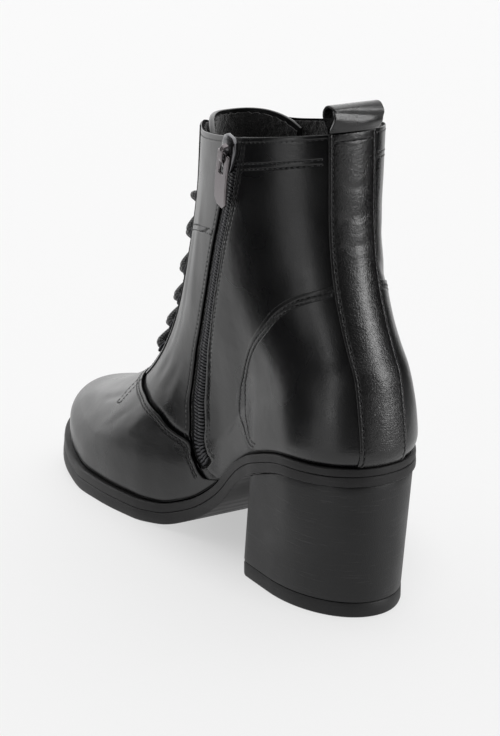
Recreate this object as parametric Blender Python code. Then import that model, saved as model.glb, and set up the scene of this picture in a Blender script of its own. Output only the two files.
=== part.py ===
"""Right lace-up ankle boot on a block heel, with a zip on its inner side.

Metres. +X points to the toe, +Y to the inner (big toe) side and +Z up. The boot stands on
the floor, and the origin is under the middle of its bounding box.

Every surface follows two functions. sole_point gives the line of the sole at a share of
the boot's length, and upper_surface gives the outside of the upper: closed rings that
climb from the edge of the sole to the collar, read from a table of sections.
"""

import math

import bmesh
import bpy
import numpy as np
from mathutils import Matrix, Vector

# Driving sizes of the sole
LENGTH = 0.240  # back edge of the sole to the toe tip, along the floor
BALL_WIDTH = 0.091
HEEL_HEIGHT = 0.0573  # floor to the underside of the sole at the back
TOE_SPRING = 0.0096  # how far the toe tip stands off the floor
OUTSOLE_THICK = 0.0055  # at the ball of the foot
MIDSOLE_THICK = 0.0042
SOLE_BEVEL = 0.0007
TOE_SWING = 0.009  # how far the toe tip leans to the inner side
HEEL_ROUND = 0.034  # length of the rounded back of the sole
TOE_ROUND = 0.0615  # length of the rounded front of the sole

# Driving sizes of the upper
SHAFT_RISE = 0.1285  # top of the sole to the collar, at the back
FRONT_RISE = 0.1565  # top of the sole at the toe to the collar, at the front
SHAFT_WIDTH = 0.073
WALL = 0.0022
TOE_LEDGE = 0.003  # how far the sole stands out beyond the upper at the toe
HEEL_LEDGE = 0.0008

# Driving sizes of the heel
HEEL_FRONT = 0.273  # front face of the heel, as a share of LENGTH
HEEL_INSET = 0.001  # how far the heel stands in under the sole's edge
LIFT_BACK = 0.0025  # back of the top lift from the back of the sole
LIFT_FRONT = 0.0655
LIFT_WIDTH = 0.054
LIFT_ROUND = 0.042
LIFT_THICK = 0.0065

# Driving sizes of what goes into the upper
INSOLE_THICK = 0.003
THROAT_WIDTH = 0.012
THROAT_BASE = 0.41  # level of the throat's lower end
TONGUE_THICK = 0.0026
TONGUE_WIDTH = 0.080
TONGUE_BASE = 0.37
TONGUE_TOP = 1.027
TONGUE_SIDE = 0.985  # level of its top at its two edges
ZIP_SLOT = 0.0112
ZIP_BASE = 0.095

# Driving sizes of what is sewn on the upper
OVERLAY = 0.0009
BACKSTAY_WIDTH = 0.025
BACKSTAY_THICK = 0.0014
EYESTAY_WIDTH = 0.017
LOOP_THICK = 0.0018

# Driving sizes of the zip
TAPE_WIDTH = 0.0158
TAPE_THICK = 0.0008
COIL_WIDTH = 0.0068
SLIDER_LEVEL = 0.968  # level of the pull's hinge
SLIDER_WIDTH = 0.0102
SLIDER_LENGTH = 0.013
SLIDER_THICK = 0.0024
BRIDGE_WIDTH = 0.0024
BRIDGE_CLEAR = 0.002  # height of the opening under the bridge
BRIDGE_THICK = 0.0008
PULL_LENGTH = 0.024
PULL_WIDTH = 0.009
PULL_THICK = 0.0012
PULL_WINDOW = 0.0085  # length of the window round the bridge

# Driving sizes of the laces
LACE_ROWS = (0.487, 0.563, 0.640, 0.716, 0.793, 0.869)  # levels of the eyelets
EYELET_OUT = 0.0125  # eyelets from the middle of the throat
EYELET_RADIUS = 0.0030
EYELET_HOLE = 0.0018
EYELET_THICK = 0.0008
LACE_RADIUS = 0.0019

GAP = 0.0004  # clearance between pieces that touch
SLACK = 0.0008  # clearance along the upper's curved wall

AROUND = 56  # points around each ring
LEVELS = 17  # rings from the sole to the collar
HEEL_RINGS = 4
EYELET_SIDES = 8

# Line of the sole: share of LENGTH, underside height as a share of HEEL_HEIGHT and of
# TOE_SPRING, the inner and outer half widths as shares of BALL_WIDTH, and the thickness of
# its layers beside the ball's.
SOLE_SECTIONS = (
    # along, heel, spring, inner, outer, thick
    (0.00, 1.000, 0.00, 0.300, 0.332, 0.78),
    (0.12, 0.978, 0.00, 0.300, 0.334, 0.78),
    (0.24, 0.835, 0.00, 0.285, 0.335, 0.78),
    (0.30, 0.700, 0.00, 0.262, 0.337, 0.80),
    (0.38, 0.385, 0.00, 0.255, 0.345, 0.84),
    (0.46, 0.148, 0.00, 0.293, 0.380, 0.90),
    (0.54, 0.022, 0.00, 0.360, 0.435, 0.96),
    (0.60, 0.000, 0.00, 0.405, 0.480, 1.00),
    (0.70, 0.000, 0.00, 0.436, 0.520, 1.02),
    (0.77, 0.000, 0.00, 0.438, 0.525, 1.06),
    (0.84, 0.000, 0.19, 0.434, 0.511, 1.12),
    (0.92, 0.000, 0.56, 0.434, 0.476, 1.18),
    (1.00, 0.000, 1.00, 0.437, 0.437, 1.20),
)

# Rings of the upper: level from sole to collar, how far the back and front points stand in
# from the sole's ends (as shares of LENGTH) and above the sole (as shares of SHAFT_RISE and
# of FRONT_RISE), girth beside the sole or shaft width, how far the ring is shaft rather
# than foot, the rounded back and front as shares of LENGTH, and how much of the sole's
# own curve the ring keeps.
UPPER_SECTIONS = (
    # level, back_x, back_z, front_x, front_z, girth, shaft, back_round, front_round, sag
    (0.00, 0.000, 0.000, 0.000, 0.000, 1.000, 0.00, 0.14, 0.25, 1.00),
    (0.06, -0.008, 0.050, 0.004, 0.056, 1.012, 0.00, 0.14, 0.26, 0.97),
    (0.12, -0.004, 0.125, 0.032, 0.102, 1.003, 0.00, 0.14, 0.28, 0.92),
    (0.20, 0.003, 0.201, 0.095, 0.133, 0.975, 0.00, 0.14, 0.28, 0.84),
    (0.30, 0.011, 0.271, 0.172, 0.174, 0.940, 0.06, 0.15, 0.27, 0.72),
    (0.40, 0.032, 0.343, 0.246, 0.238, 0.900, 0.20, 0.16, 0.28, 0.58),
    (0.50, 0.054, 0.423, 0.305, 0.331, 0.880, 0.42, 0.18, 0.28, 0.42),
    (0.60, 0.075, 0.518, 0.348, 0.438, 0.862, 0.66, 0.19, 0.28, 0.26),
    (0.70, 0.089, 0.621, 0.378, 0.554, 0.848, 0.86, 0.20, 0.28, 0.12),
    (0.80, 0.097, 0.745, 0.409, 0.700, 0.850, 0.98, 0.20, 0.29, 0.04),
    (0.90, 0.099, 0.870, 0.430, 0.850, 0.862, 1.00, 0.19, 0.31, 0.00),
    (1.00, 0.101, 1.000, 0.438, 1.000, 0.875, 1.00, 0.18, 0.33, 0.00),
)

# Middle of the zip: level and u
ZIP_SECTIONS = (
    (0.08, 0.221),
    (0.20, 0.245),
    (0.34, 0.269),
    (0.43, 0.281),
    (0.53, 0.284),
    (0.62, 0.276),
    (0.70, 0.263),
    (0.78, 0.248),
    (0.86, 0.232),
    (1.00, 0.210),
)

# Edge of the vamp on either side of the boot: u on the inner side, and level
VAMP_SECTIONS = (
    (0.222, 0.050),
    (0.240, 0.140),
    (0.258, 0.230),
    (0.288, 0.285),
    (0.312, 0.335),
    (0.357, 0.380),
    (0.417, 0.395),
    (0.500, 0.400),
)

# Heel counter on either side of the backstay: u on the inner side, lowest and highest level
COUNTER_SECTIONS = (
    # u, low, high
    (0.030, 0.015, 0.625),
    (0.098, 0.015, 0.605),
    (0.133, 0.015, 0.575),
    (0.165, 0.020, 0.525),
    (0.185, 0.115, 0.490),
    (0.200, 0.220, 0.450),
    (0.212, 0.340, 0.385),
)

# Middle line of the pull loop, from the outside of the collar over to its inside: height
# above the collar and distance outside the upper, in metres
LOOP_PATH = (
    # up, out
    (0.0014, 0.0014),
    (0.0045, 0.0024),
    (0.0085, 0.0026),
    (0.0114, 0.0012),
    (0.0126, -0.0016),
    (0.0118, -0.0044),
    (0.0088, -0.0062),
    (0.0048, -0.0063),
    (0.0008, -0.0052),
    (-0.0030, -0.0043),
    (-0.0080, -0.0040),
    (-0.0140, -0.0040),
)


def smooth(xs, ys, x):
    """Smooth curve through a table's points that never overshoots them.

    Monotone cubic: the slope at each point is the harmonic mean of the slopes beside it,
    and zero where they change sign.
    """
    xs, ys, x = (np.asarray(a, float) for a in (xs, ys, x))
    step = np.diff(xs)
    rise = np.diff(ys) / step
    slope = np.zeros(len(xs))
    same = rise[:-1] * rise[1:] > 0
    slope[1:-1][same] = 2 * rise[:-1][same] * rise[1:][same] / (rise[:-1] + rise[1:])[same]
    slope[0], slope[-1] = rise[0], rise[-1]
    i = np.clip(np.searchsorted(xs, x) - 1, 0, len(step) - 1)
    f = (x - xs[i]) / step[i]
    return (
        ys[i] * (1 + 2 * f) * (1 - f) ** 2
        + ys[i + 1] * f * f * (3 - 2 * f)
        + step[i] * f * (1 - f) * ((1 - f) * slope[i] - f * slope[i + 1])
    )


def column(table, n, x):
    """Column n of a table, read smoothly at x in its first column."""
    return smooth([row[0] for row in table], [row[n] for row in table], x)


def rounding(distance, reach):
    """Quarter circle: 0 at an end, 1 from reach inwards."""
    return np.sqrt(np.clip(1 - (1 - np.clip(distance / reach, 0, 1)) ** 2, 0, 1))


def sole_line(share, height):
    """x and z of the sole's middle line at a share of LENGTH, height above the underside.

    Height is measured square to the underside's own slope, and grows and shrinks with the
    thickness of the layers.
    """

    def under(s):
        return HEEL_HEIGHT * column(SOLE_SECTIONS, 1, s) + TOE_SPRING * column(SOLE_SECTIONS, 2, s)

    share = np.asarray(share, float)
    height = height * column(SOLE_SECTIONS, 5, share)
    reach = 0.01
    before, after = np.clip(share - reach, 0, 1), np.clip(share + reach, 0, 1)
    slope = (under(after) - under(before)) / ((after - before) * LENGTH)
    length = np.sqrt(1 + slope**2)
    return share * LENGTH - height * slope / length, under(share) + height / length


def foot_widths(share):
    """Inner and outer half widths of the sole at a share of LENGTH, before its ends round."""
    share = np.clip(share, 0, 1)
    return BALL_WIDTH * column(SOLE_SECTIONS, 3, share), BALL_WIDTH * column(SOLE_SECTIONS, 4, share)


def toe_swing(share):
    """How far the boot's middle line leans to the inner side."""
    return TOE_SWING * np.clip(share, 0, 1) ** 3


def around(u):
    """Side (1 inner, -1 outer) and share from back to front of points around a ring."""
    turn = np.asarray(u, float) % 1.0
    return np.where(turn <= 0.5, 1.0, -1.0), (1 - np.cos(2 * math.pi * turn)) / 2


def stations(t, back_inset, front_inset):
    """Shares of LENGTH at t from back to front, inset at the two ends only.

    Every layer of the sole and the seat of the upper so share the same stations along the
    boot, and lie parallel between them.
    """
    return t + (back_inset * (1 - t) ** 6 - front_inset * t**6) / LENGTH


def sole_ring(height, back_inset, front_inset=None):
    """Ring of points around the sole at a height in its thickness, inset from its edge.

    The inset may grow from the back to the front.
    """
    front_inset = back_inset if front_inset is None else front_inset
    side, t = around(np.arange(AROUND) / AROUND)
    share = stations(t, back_inset, front_inset)
    x, z = sole_line(share, height)
    inner, outer = foot_widths(share)
    inset = back_inset + (front_inset - back_inset) * t
    ends = rounding(t * LENGTH, HEEL_ROUND) * rounding((1 - t) * LENGTH, TOE_ROUND)
    y = toe_swing(share) + side * (np.where(side > 0, inner, outer) - inset) * ends
    return np.stack([x, y, z], axis=1)


SOLE_THICK = OUTSOLE_THICK + GAP + MIDSOLE_THICK
SEAT = SOLE_THICK + GAP  # height of the upper's lower edge above the sole's underside
EYELET_SEAT = SLACK + OVERLAY + GAP  # underside of the eyelets outside the upper
VAMP_LOW = 0.015  # level of the vamp's lower edge


def upper_surface(u, level, out=0.0):
    """Points on the outside of the upper.

    u goes once around from 0 at the back, by 0.25 on the inner side and 0.5 at the front.
    level goes from 0 at the sole to 1 at the collar, and straight on above it. out is the
    distance outside it.
    """
    u, level = np.broadcast_arrays(np.asarray(u, float), np.asarray(level, float))
    step = 0.004
    if np.any(out):
        du = upper_surface(u + step, level) - upper_surface(u - step, level)
        dv = upper_surface(u, level + step) - upper_surface(u, np.maximum(level - step, 0))
        normal = np.cross(dv, du)
        normal /= np.linalg.norm(normal, axis=-1, keepdims=True)
        return upper_surface(u, level) + normal * np.asarray(out)[..., None]
    if np.any(level > 1):
        top = np.minimum(level, 1)
        edge = upper_surface(u, top)
        slope = (edge - upper_surface(u, top - step)) / step
        return edge + slope * (level - top)[..., None]
    row = {
        name: column(UPPER_SECTIONS, n + 1, level)
        for n, name in enumerate(
            ("back_x", "back_z", "front_x", "front_z", "girth", "shaft", "back_round", "front_round", "sag")
        )
    }
    side, t = around(u)
    foot_x, foot_z = sole_line(stations(t, HEEL_LEDGE, TOE_LEDGE), SEAT)
    back_foot = sole_line(stations(0.0, HEEL_LEDGE, TOE_LEDGE), SEAT)
    front_foot = sole_line(stations(1.0, HEEL_LEDGE, TOE_LEDGE), SEAT)
    back_x, back_z = back_foot[0] + row["back_x"] * LENGTH, back_foot[1] + row["back_z"] * SHAFT_RISE
    front_x, front_z = front_foot[0] - row["front_x"] * LENGTH, front_foot[1] + row["front_z"] * FRONT_RISE
    curve_x = foot_x - (back_foot[0] + t * (front_foot[0] - back_foot[0]))
    curve_z = foot_z - (back_foot[1] + t * (front_foot[1] - back_foot[1]))
    x = back_x + t * (front_x - back_x) + row["sag"] * curve_x
    z = back_z + t * (front_z - back_z) + row["sag"] * curve_z
    inner, outer = foot_widths(x / LENGTH)
    ledge = HEEL_LEDGE + (TOE_LEDGE - HEEL_LEDGE) * np.clip(x / LENGTH, 0, 1)
    foot = np.where(side > 0, inner, outer) - ledge
    half = row["girth"] * ((1 - row["shaft"]) * foot + row["shaft"] * SHAFT_WIDTH / 2)
    reach = front_x - back_x
    half = half * rounding(t * reach, row["back_round"] * LENGTH)
    half = half * rounding((1 - t) * reach, row["front_round"] * LENGTH)
    y = toe_swing(x / LENGTH) * (1 - row["shaft"]) + side * half
    return np.stack([x, y, z], axis=-1)


def new_object(name, points, faces, finish):
    """Mesh object from points and faces, with its outside facing out and smooth shading."""
    mesh = bpy.data.meshes.new(name)
    mesh.from_pydata([tuple(p) for p in points], [], faces)
    bm = bmesh.new()
    bm.from_mesh(mesh)
    bmesh.ops.remove_doubles(bm, verts=bm.verts, dist=1e-6)
    bmesh.ops.recalc_face_normals(bm, faces=bm.faces)
    bm.to_mesh(mesh)
    bm.free()
    mesh.shade_smooth()
    mesh.set_sharp_from_angle(angle=math.radians(40))
    mesh.materials.append(finish)
    obj = bpy.data.objects.new(name, mesh)
    bpy.context.collection.objects.link(obj)
    return obj


def material(name, colour, roughness, metallic=0.0):
    """Principled material with a colour, a roughness and a metallic value."""
    made = bpy.data.materials.new(name)
    made.use_nodes = True
    shader = made.node_tree.nodes["Principled BSDF"]
    shader.inputs["Base Color"].default_value = (*colour, 1)
    shader.inputs["Roughness"].default_value = roughness
    shader.inputs["Metallic"].default_value = metallic
    return made


def bridge(a, b, closed=True):
    """Quads between two equal runs of point numbers."""
    n = len(a)
    last = n if closed else n - 1
    return [(a[i], a[(i + 1) % n], b[(i + 1) % n], b[i]) for i in range(last)]


def across(ring):
    """Faces that close a ring of the sole, in strips from its inner to its outer side."""
    n = len(ring)
    strips = []
    for i in range(n // 2):
        strip = [ring[i], ring[i + 1], ring[(n - i - 1) % n], ring[(n - i) % n]]
        strips.append(tuple(dict.fromkeys(strip)))
    return strips


def stack(name, rings, finish):
    """Solid of closed rings of points, one above another, closed across both ends."""
    count = len(rings[0])
    index = [list(range(k * count, (k + 1) * count)) for k in range(len(rings))]
    faces = across(index[0]) + across(index[-1])
    for low, high in zip(index, index[1:]):
        faces += bridge(low, high)
    return new_object(name, np.concatenate(rings), faces, finish)


def plate(name, low, high, finish):
    """Layer of the sole between two heights, with its edges bevelled."""
    profile = [(low, SOLE_BEVEL), (low + SOLE_BEVEL, 0), (high - SOLE_BEVEL, 0), (high, SOLE_BEVEL)]
    return stack(name, [sole_ring(height, inset) for height, inset in profile], finish)


def shell(name, inner, outer, finish, closed=False):
    """Solid wall between two grids of points, each of rows that may close on themselves."""
    rows, cols = inner.shape[:2]
    index = np.arange(2 * rows * cols).reshape(2, rows, cols)
    faces = []
    for sheet in index.tolist():
        for low, high in zip(sheet, sheet[1:]):
            faces += bridge(low, high, closed)
    for end in (0, -1):
        faces += bridge(*index[:, end].tolist(), closed)
        if not closed:
            faces += bridge(*index[:, :, end].tolist(), False)
    points = np.concatenate([inner.reshape(-1, 3), outer.reshape(-1, 3)])
    return new_object(name, points, faces, finish)


def panel(name, u, level, low, high, finish):
    """Piece of the upper's surface over a grid of u and level, between two distances out."""
    u, level = np.broadcast_arrays(u, level)
    return shell(name, upper_surface(u, level, low), upper_surface(u, level, high), finish)


def around_from(u, level, distance):
    """u of the points a distance around the upper from u, at their own levels."""
    u, level, distance = np.broadcast_arrays(u, level, distance)
    found = []
    for start, height, reach in zip(u.flat, level.flat, distance.flat):
        turn = start + np.linspace(-0.3, 0.3, 121)
        steps = np.linalg.norm(np.diff(upper_surface(turn, height), axis=0), axis=1)
        run = np.concatenate([[0], np.cumsum(steps)])
        found.append(np.interp(reach, run - run[60], turn))
    return np.reshape(found, u.shape)


def combine(target, other, operation):
    """Boolean of the target with another object, which is then removed."""
    other.hide_render = True
    other.display_type = "WIRE"
    step = target.modifiers.new(operation, "BOOLEAN")
    step.operation, step.solver, step.object = operation, "EXACT", other
    shape = target.evaluated_get(bpy.context.evaluated_depsgraph_get())
    mesh = bpy.data.meshes.new_from_object(shape)
    target.modifiers.clear()
    target.data = mesh
    bpy.data.objects.remove(other)


def cut(target, cutter):
    """Takes the cutter's shape out of the target."""
    combine(target, cutter, "DIFFERENCE")


def join(target, other):
    """Makes one body of the target and another that it overlaps."""
    combine(target, other, "UNION")


def make_heel(rubber, plastic):
    """Block heel under the back of the sole, with a flat front face, and its top lift."""
    ring = sole_ring(-GAP, HEEL_INSET)
    side, share = around(np.arange(AROUND) / AROUND)
    last = int(np.searchsorted(share[: AROUND // 2], HEEL_FRONT)) - 1
    part = (HEEL_FRONT - share[last]) / (share[last + 1] - share[last])
    front = [ring[k] + part * (ring[n] - ring[k]) for k, n in ((last, last + 1), (-last, -last - 1))]
    top = np.concatenate([ring[: last + 1], front, ring[-last:]])
    along = np.concatenate([share[: last + 1], [HEEL_FRONT] * 2, share[-last:]]) / HEEL_FRONT
    side = np.concatenate([side[: last + 1], [1, -1], side[-last:]])
    middle = np.array([(LIFT_BACK + LIFT_FRONT) / 2, 0.0])
    length = LIFT_FRONT - LIFT_BACK
    half = LIFT_WIDTH / 2 * rounding(along * length, LIFT_ROUND)
    foot = np.stack([LIFT_BACK + along * length, side * half], axis=1)

    def level_ring(height, inset):
        """The heel's outline at its foot, at a height and inset from its edge."""
        points = middle + (foot - middle) * (1 - 2 * inset / np.array([length, LIFT_WIDTH]))
        return np.column_stack([points, np.full(len(points), height)])

    lift = [(0, SOLE_BEVEL), (SOLE_BEVEL, 0), (LIFT_THICK - SOLE_BEVEL, 0), (LIFT_THICK, SOLE_BEVEL)]
    stack("top_lift", [level_ring(*row) for row in lift], rubber)
    low = level_ring(LIFT_THICK + GAP, 0)
    rings = [low + (top - low) * rise for rise in np.linspace(0, 1, HEEL_RINGS)]
    stack("heel_block", rings, plastic)


def make_insole(finish):
    """Insole on the sole, inside the upper's lower edge."""
    inset = WALL + 2 * GAP
    rings = [sole_ring(height, HEEL_LEDGE + inset, TOE_LEDGE + inset) for height in (SEAT, SEAT + INSOLE_THICK)]
    return stack("insole", rings, finish)


def make_upper(finish):
    """Hollow upper: a wall from the sole to the collar, open along the throat and the zip."""
    u = np.arange(AROUND) / AROUND
    grid_u, grid_v = np.meshgrid(u, np.linspace(0, 1, LEVELS + 1))
    outside = upper_surface(grid_u, grid_v)
    inside = upper_surface(grid_u, grid_v, -WALL)
    half = AROUND // 2 + 1
    inside[0, :, 2] = np.interp(inside[0, :, 0], outside[0, :half, 0], outside[0, :half, 2])
    upper = shell("upper", inside, outside, finish, closed=True)

    level = np.linspace(THROAT_BASE, 1.05, 10)[:, None]
    throat = around_from(0.5, level, THROAT_WIDTH * np.linspace(-0.5, 0.5, 3))
    cut(upper, panel("throat", throat, level, -2 * WALL, WALL, finish))
    level = np.linspace(ZIP_BASE, 1.05, 14)[:, None]
    slot = around_from(zip_line(level), level, ZIP_SLOT * np.linspace(-0.5, 0.5, 3))
    cut(upper, panel("zip_slot", slot, level, -2 * WALL, WALL, finish))
    return upper


def zip_line(level):
    """u of the middle of the zip at a level."""
    return column(ZIP_SECTIONS, 1, np.minimum(level, 1))


def make_tongue(finish):
    """Tongue behind the throat, wider than it and rounded where it stands over the collar."""
    rise = np.linspace(0, 1, 12)[:, None]
    cross = np.linspace(-1, 1, 10)
    top = TONGUE_TOP - (TONGUE_TOP - TONGUE_SIDE) * np.abs(cross) ** 3
    level = TONGUE_BASE + rise * (top - TONGUE_BASE)
    half = TONGUE_WIDTH / 2 * (0.5 + 0.5 * np.minimum(rise * 1.6, 1))
    u = around_from(0.5, level, cross * half)
    out = -(WALL + SLACK)
    return panel("tongue", u, level, out - TONGUE_THICK, out, finish)


def make_overlays(finish):
    """Vamp, heel counter, backstay and eyestays, sewn on the outside of the upper."""
    high = SLACK + OVERLAY
    rise = np.linspace(0, 1, 8)[:, None]
    u = np.linspace(VAMP_SECTIONS[0][0] + 0.004, 1 - VAMP_SECTIONS[0][0] - 0.004, 21)
    top = column(VAMP_SECTIONS, 1, 0.5 - np.abs(u - 0.5))
    panel("vamp", u, VAMP_LOW + rise * (top - VAMP_LOW), SLACK, high, finish)

    share = np.linspace(0, 1, 10)
    u = 0.03 + share * (COUNTER_SECTIONS[-1][0] - 0.03)
    low, up = column(COUNTER_SECTIONS, 1, u), column(COUNTER_SECTIONS, 2, u)
    level = low + np.linspace(0, 1, 11)[:, None] * (up - low)
    edge = around_from(0, level[:, 0], BACKSTAY_WIDTH / 2 + GAP)[:, None]
    grid = edge + share * (COUNTER_SECTIONS[-1][0] - edge)
    panel("counter_inner", grid, level, SLACK, high, finish)
    panel("counter_outer", 1 - grid, level, SLACK, high, finish)

    level = np.linspace(VAMP_LOW, 1, 18)[:, None]
    strip = around_from(0, level, BACKSTAY_WIDTH * np.linspace(-0.5, 0.5, 5))
    panel("backstay", strip, level, SLACK, SLACK + BACKSTAY_THICK, finish)

    level = np.linspace(THROAT_BASE + 0.008, 0.998, 16)[:, None]
    reach = THROAT_WIDTH / 2 + GAP + EYESTAY_WIDTH * np.linspace(0, 1, 4)
    for side, name in ((-1, "eyestay_inner"), (1, "eyestay_outer")):
        panel(name, around_from(0.5, level, side * reach), level, SLACK, high, finish)


def make_pull_loop(finish):
    """Loop of leather folded over the back of the collar, as wide as the backstay."""
    at = np.linspace(0, len(LOOP_PATH) - 1, 19)
    path = [smooth(range(len(LOOP_PATH)), [row[n] for row in LOOP_PATH], at) for n in (0, 1)]
    up, out = np.array(path)
    along = np.stack([np.gradient(up), np.gradient(out)])
    along /= np.linalg.norm(along, axis=0)
    u = around_from(0, 1, BACKSTAY_WIDTH * np.linspace(-0.5, 0.5, 5))
    rise = np.linalg.norm(upper_surface(0, 1.0) - upper_surface(0, 0.98)) / 0.02
    sheets = []
    for side in (-0.5, 0.5):
        level = 1 + (up - side * LOOP_THICK * along[1]) / rise
        distance = out + side * LOOP_THICK * along[0]
        sheets.append(upper_surface(u, level[:, None], distance[:, None] * np.ones(len(u))))
    return shell("pull_loop", *sheets, finish)


def make_zip(textile, teeth, metal, bright):
    """Zip in its slot: tape behind the wall, teeth between the edges, slider and pull."""
    level = np.linspace(ZIP_BASE - 0.02, 0.998, 17)[:, None]
    behind = -(WALL + SLACK)
    tape = around_from(zip_line(level), level, TAPE_WIDTH * np.linspace(-0.5, 0.5, 4))
    panel("zip_tape", tape, level, behind - TAPE_THICK, behind, textile)
    level = np.linspace(ZIP_BASE + 0.006, 0.998, 17)[:, None]
    coil = around_from(zip_line(level), level, COIL_WIDTH * np.linspace(-0.5, 0.5, 4))
    crown = -GAP - 0.0008 * np.abs(np.linspace(-1, 1, 4)) ** 2
    panel("zip_coil", coil, level, behind + GAP, crown, teeth)
    make_slider(metal, bright)


def slider_frame():
    """Matrix of the pull's hinge: its axes run across the zip, down along it and out."""
    points = [upper_surface(zip_line(v), v) for v in (SLIDER_LEVEL, SLIDER_LEVEL - 0.01)]
    down = Vector(points[1] - points[0]).normalized()
    out = Vector(upper_surface(zip_line(SLIDER_LEVEL), SLIDER_LEVEL, 1.0) - points[0])
    across_zip = down.cross(out).normalized()
    out = across_zip.cross(down).normalized()
    frame = Matrix((across_zip, down, out)).transposed().to_4x4()
    height = SLIDER_THICK + BRIDGE_CLEAR / 2
    frame.translation = Vector(points[0]) + out * height
    return frame


def prism(outline, low, high):
    """Points and faces of an outline of (a, b) pairs carried from low to high."""
    n = len(outline)
    points = [(a, b, c) for c in (low, high) for a, b in outline]
    faces = [tuple(range(n)), tuple(range(n, 2 * n))]
    return points, faces + bridge(list(range(n)), list(range(n, 2 * n)))


def make_slider(metal, bright):
    """Slider with a bridge, and the pull whose bar hangs under the bridge.

    Both are built about the hinge: x across the zip, y down along it and z out.
    """
    frame = slider_frame()
    top = -BRIDGE_CLEAR / 2
    foot = top - SLIDER_THICK
    half, back, front = SLIDER_WIDTH / 2, -0.45 * SLIDER_LENGTH, 0.55 * SLIDER_LENGTH
    shape = [(-0.75, back), (0.75, back), (1, back * 0.5), (0.72, front), (-0.72, front), (-1, back * 0.5)]
    points, faces = prism([(a * half, b) for a, b in shape], foot, top)
    slider = new_object("zip_slider", points, faces, metal)
    inner, outer = BRIDGE_CLEAR / 2, BRIDGE_CLEAR / 2 + BRIDGE_THICK
    rear, fore, leg = -0.0026, 0.0030, 0.0012
    sunk = top - SLIDER_THICK / 3
    arch = [(rear - leg, sunk), (rear - leg, outer - 0.0006), (rear - leg + 0.0008, outer)]
    arch += [(fore + leg - 0.0008, outer), (fore + leg, outer - 0.0006), (fore + leg, sunk)]
    arch += [(fore, sunk), (fore, inner), (rear, inner), (rear, sunk)]
    points, faces = prism(arch, -BRIDGE_WIDTH / 2, BRIDGE_WIDTH / 2)
    bridge_bar = new_object("bridge", [(c, a, b) for a, b, c in points], faces, metal)
    join(slider, bridge_bar)
    slider.matrix_world = frame

    half, bar, arm = PULL_WIDTH / 2, PULL_THICK / 2, PULL_WIDTH / 2 - BRIDGE_WIDTH / 2 - GAP
    end = PULL_LENGTH - bar
    outline = [(-half, -bar), (half, -bar), (half, end - 0.0016), (half - 0.0016, end)]
    outline += [(-half + 0.0016, end), (-half, end - 0.0016)]
    points, faces = prism(outline, -bar, bar)
    pull = new_object("zip_pull", points, faces, bright)
    window = [(-half + arm, bar), (half - arm, bar), (half - arm, PULL_WINDOW), (-half + arm, PULL_WINDOW)]
    points, faces = prism(window, -2 * bar, 2 * bar)
    cut(pull, new_object("window", points, faces, bright))
    pull.matrix_world = frame


def tube(name, path, radius, sides, finish):
    """Round bar along a path of points, closed at both ends."""
    path = np.asarray(path, float)
    along = np.gradient(path, axis=0)
    along /= np.linalg.norm(along, axis=1, keepdims=True)
    across_path = np.cross(along, np.cross(along, [0.3, 0.2, 0.93]))
    across_path /= np.linalg.norm(across_path, axis=1, keepdims=True)
    other = np.cross(along, across_path)
    turn = 2 * math.pi * np.arange(sides)[:, None, None] / sides
    rings = path + radius * (np.cos(turn) * across_path + np.sin(turn) * other)
    rings = rings.transpose(1, 0, 2)
    n = len(path)
    index = np.arange(n * sides).reshape(n, sides).tolist()
    faces = [tuple(index[0]), tuple(index[-1])]
    for a, b in zip(index, index[1:]):
        faces += bridge(a, b)
    return new_object(name, rings.reshape(-1, 3), faces, finish)


def make_eyelets(finish):
    """Metal eyelets on the eyestays: a ring of square section at each row."""
    turn = 2 * math.pi * np.arange(EYELET_SIDES) / EYELET_SIDES
    section = [(EYELET_HOLE, 0), (EYELET_RADIUS, 0), (EYELET_RADIUS, EYELET_THICK), (EYELET_HOLE, EYELET_THICK)]
    for side, name in ((-1, "inner"), (1, "outer")):
        for row, level in enumerate(LACE_ROWS):
            middle, out, across_eye, up = eyelet_frame(level, side)
            rings = [
                middle + r * (np.cos(turn)[:, None] * across_eye + np.sin(turn)[:, None] * up) + h * out
                for r, h in section
            ]
            index = np.arange(4 * EYELET_SIDES).reshape(4, EYELET_SIDES).tolist()
            faces = []
            for a, b in zip(index, index[1:] + index[:1]):
                faces += bridge(a, b)
            new_object(f"eyelet_{name}_{row + 1}", np.concatenate(rings), faces, finish)


def eyelet_frame(level, side):
    """Middle of an eyelet's lower face, and its directions out, across and up."""
    u = float(around_from(0.5, level, side * EYELET_OUT))
    base = upper_surface(u, level)
    out = upper_surface(u, level, 1.0) - base
    up = upper_surface(u, level + 0.01) - base
    across_eye = np.cross(out, up)
    across_eye /= np.linalg.norm(across_eye)
    return base + EYELET_SEAT * out, out, across_eye, np.cross(across_eye, out)


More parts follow.
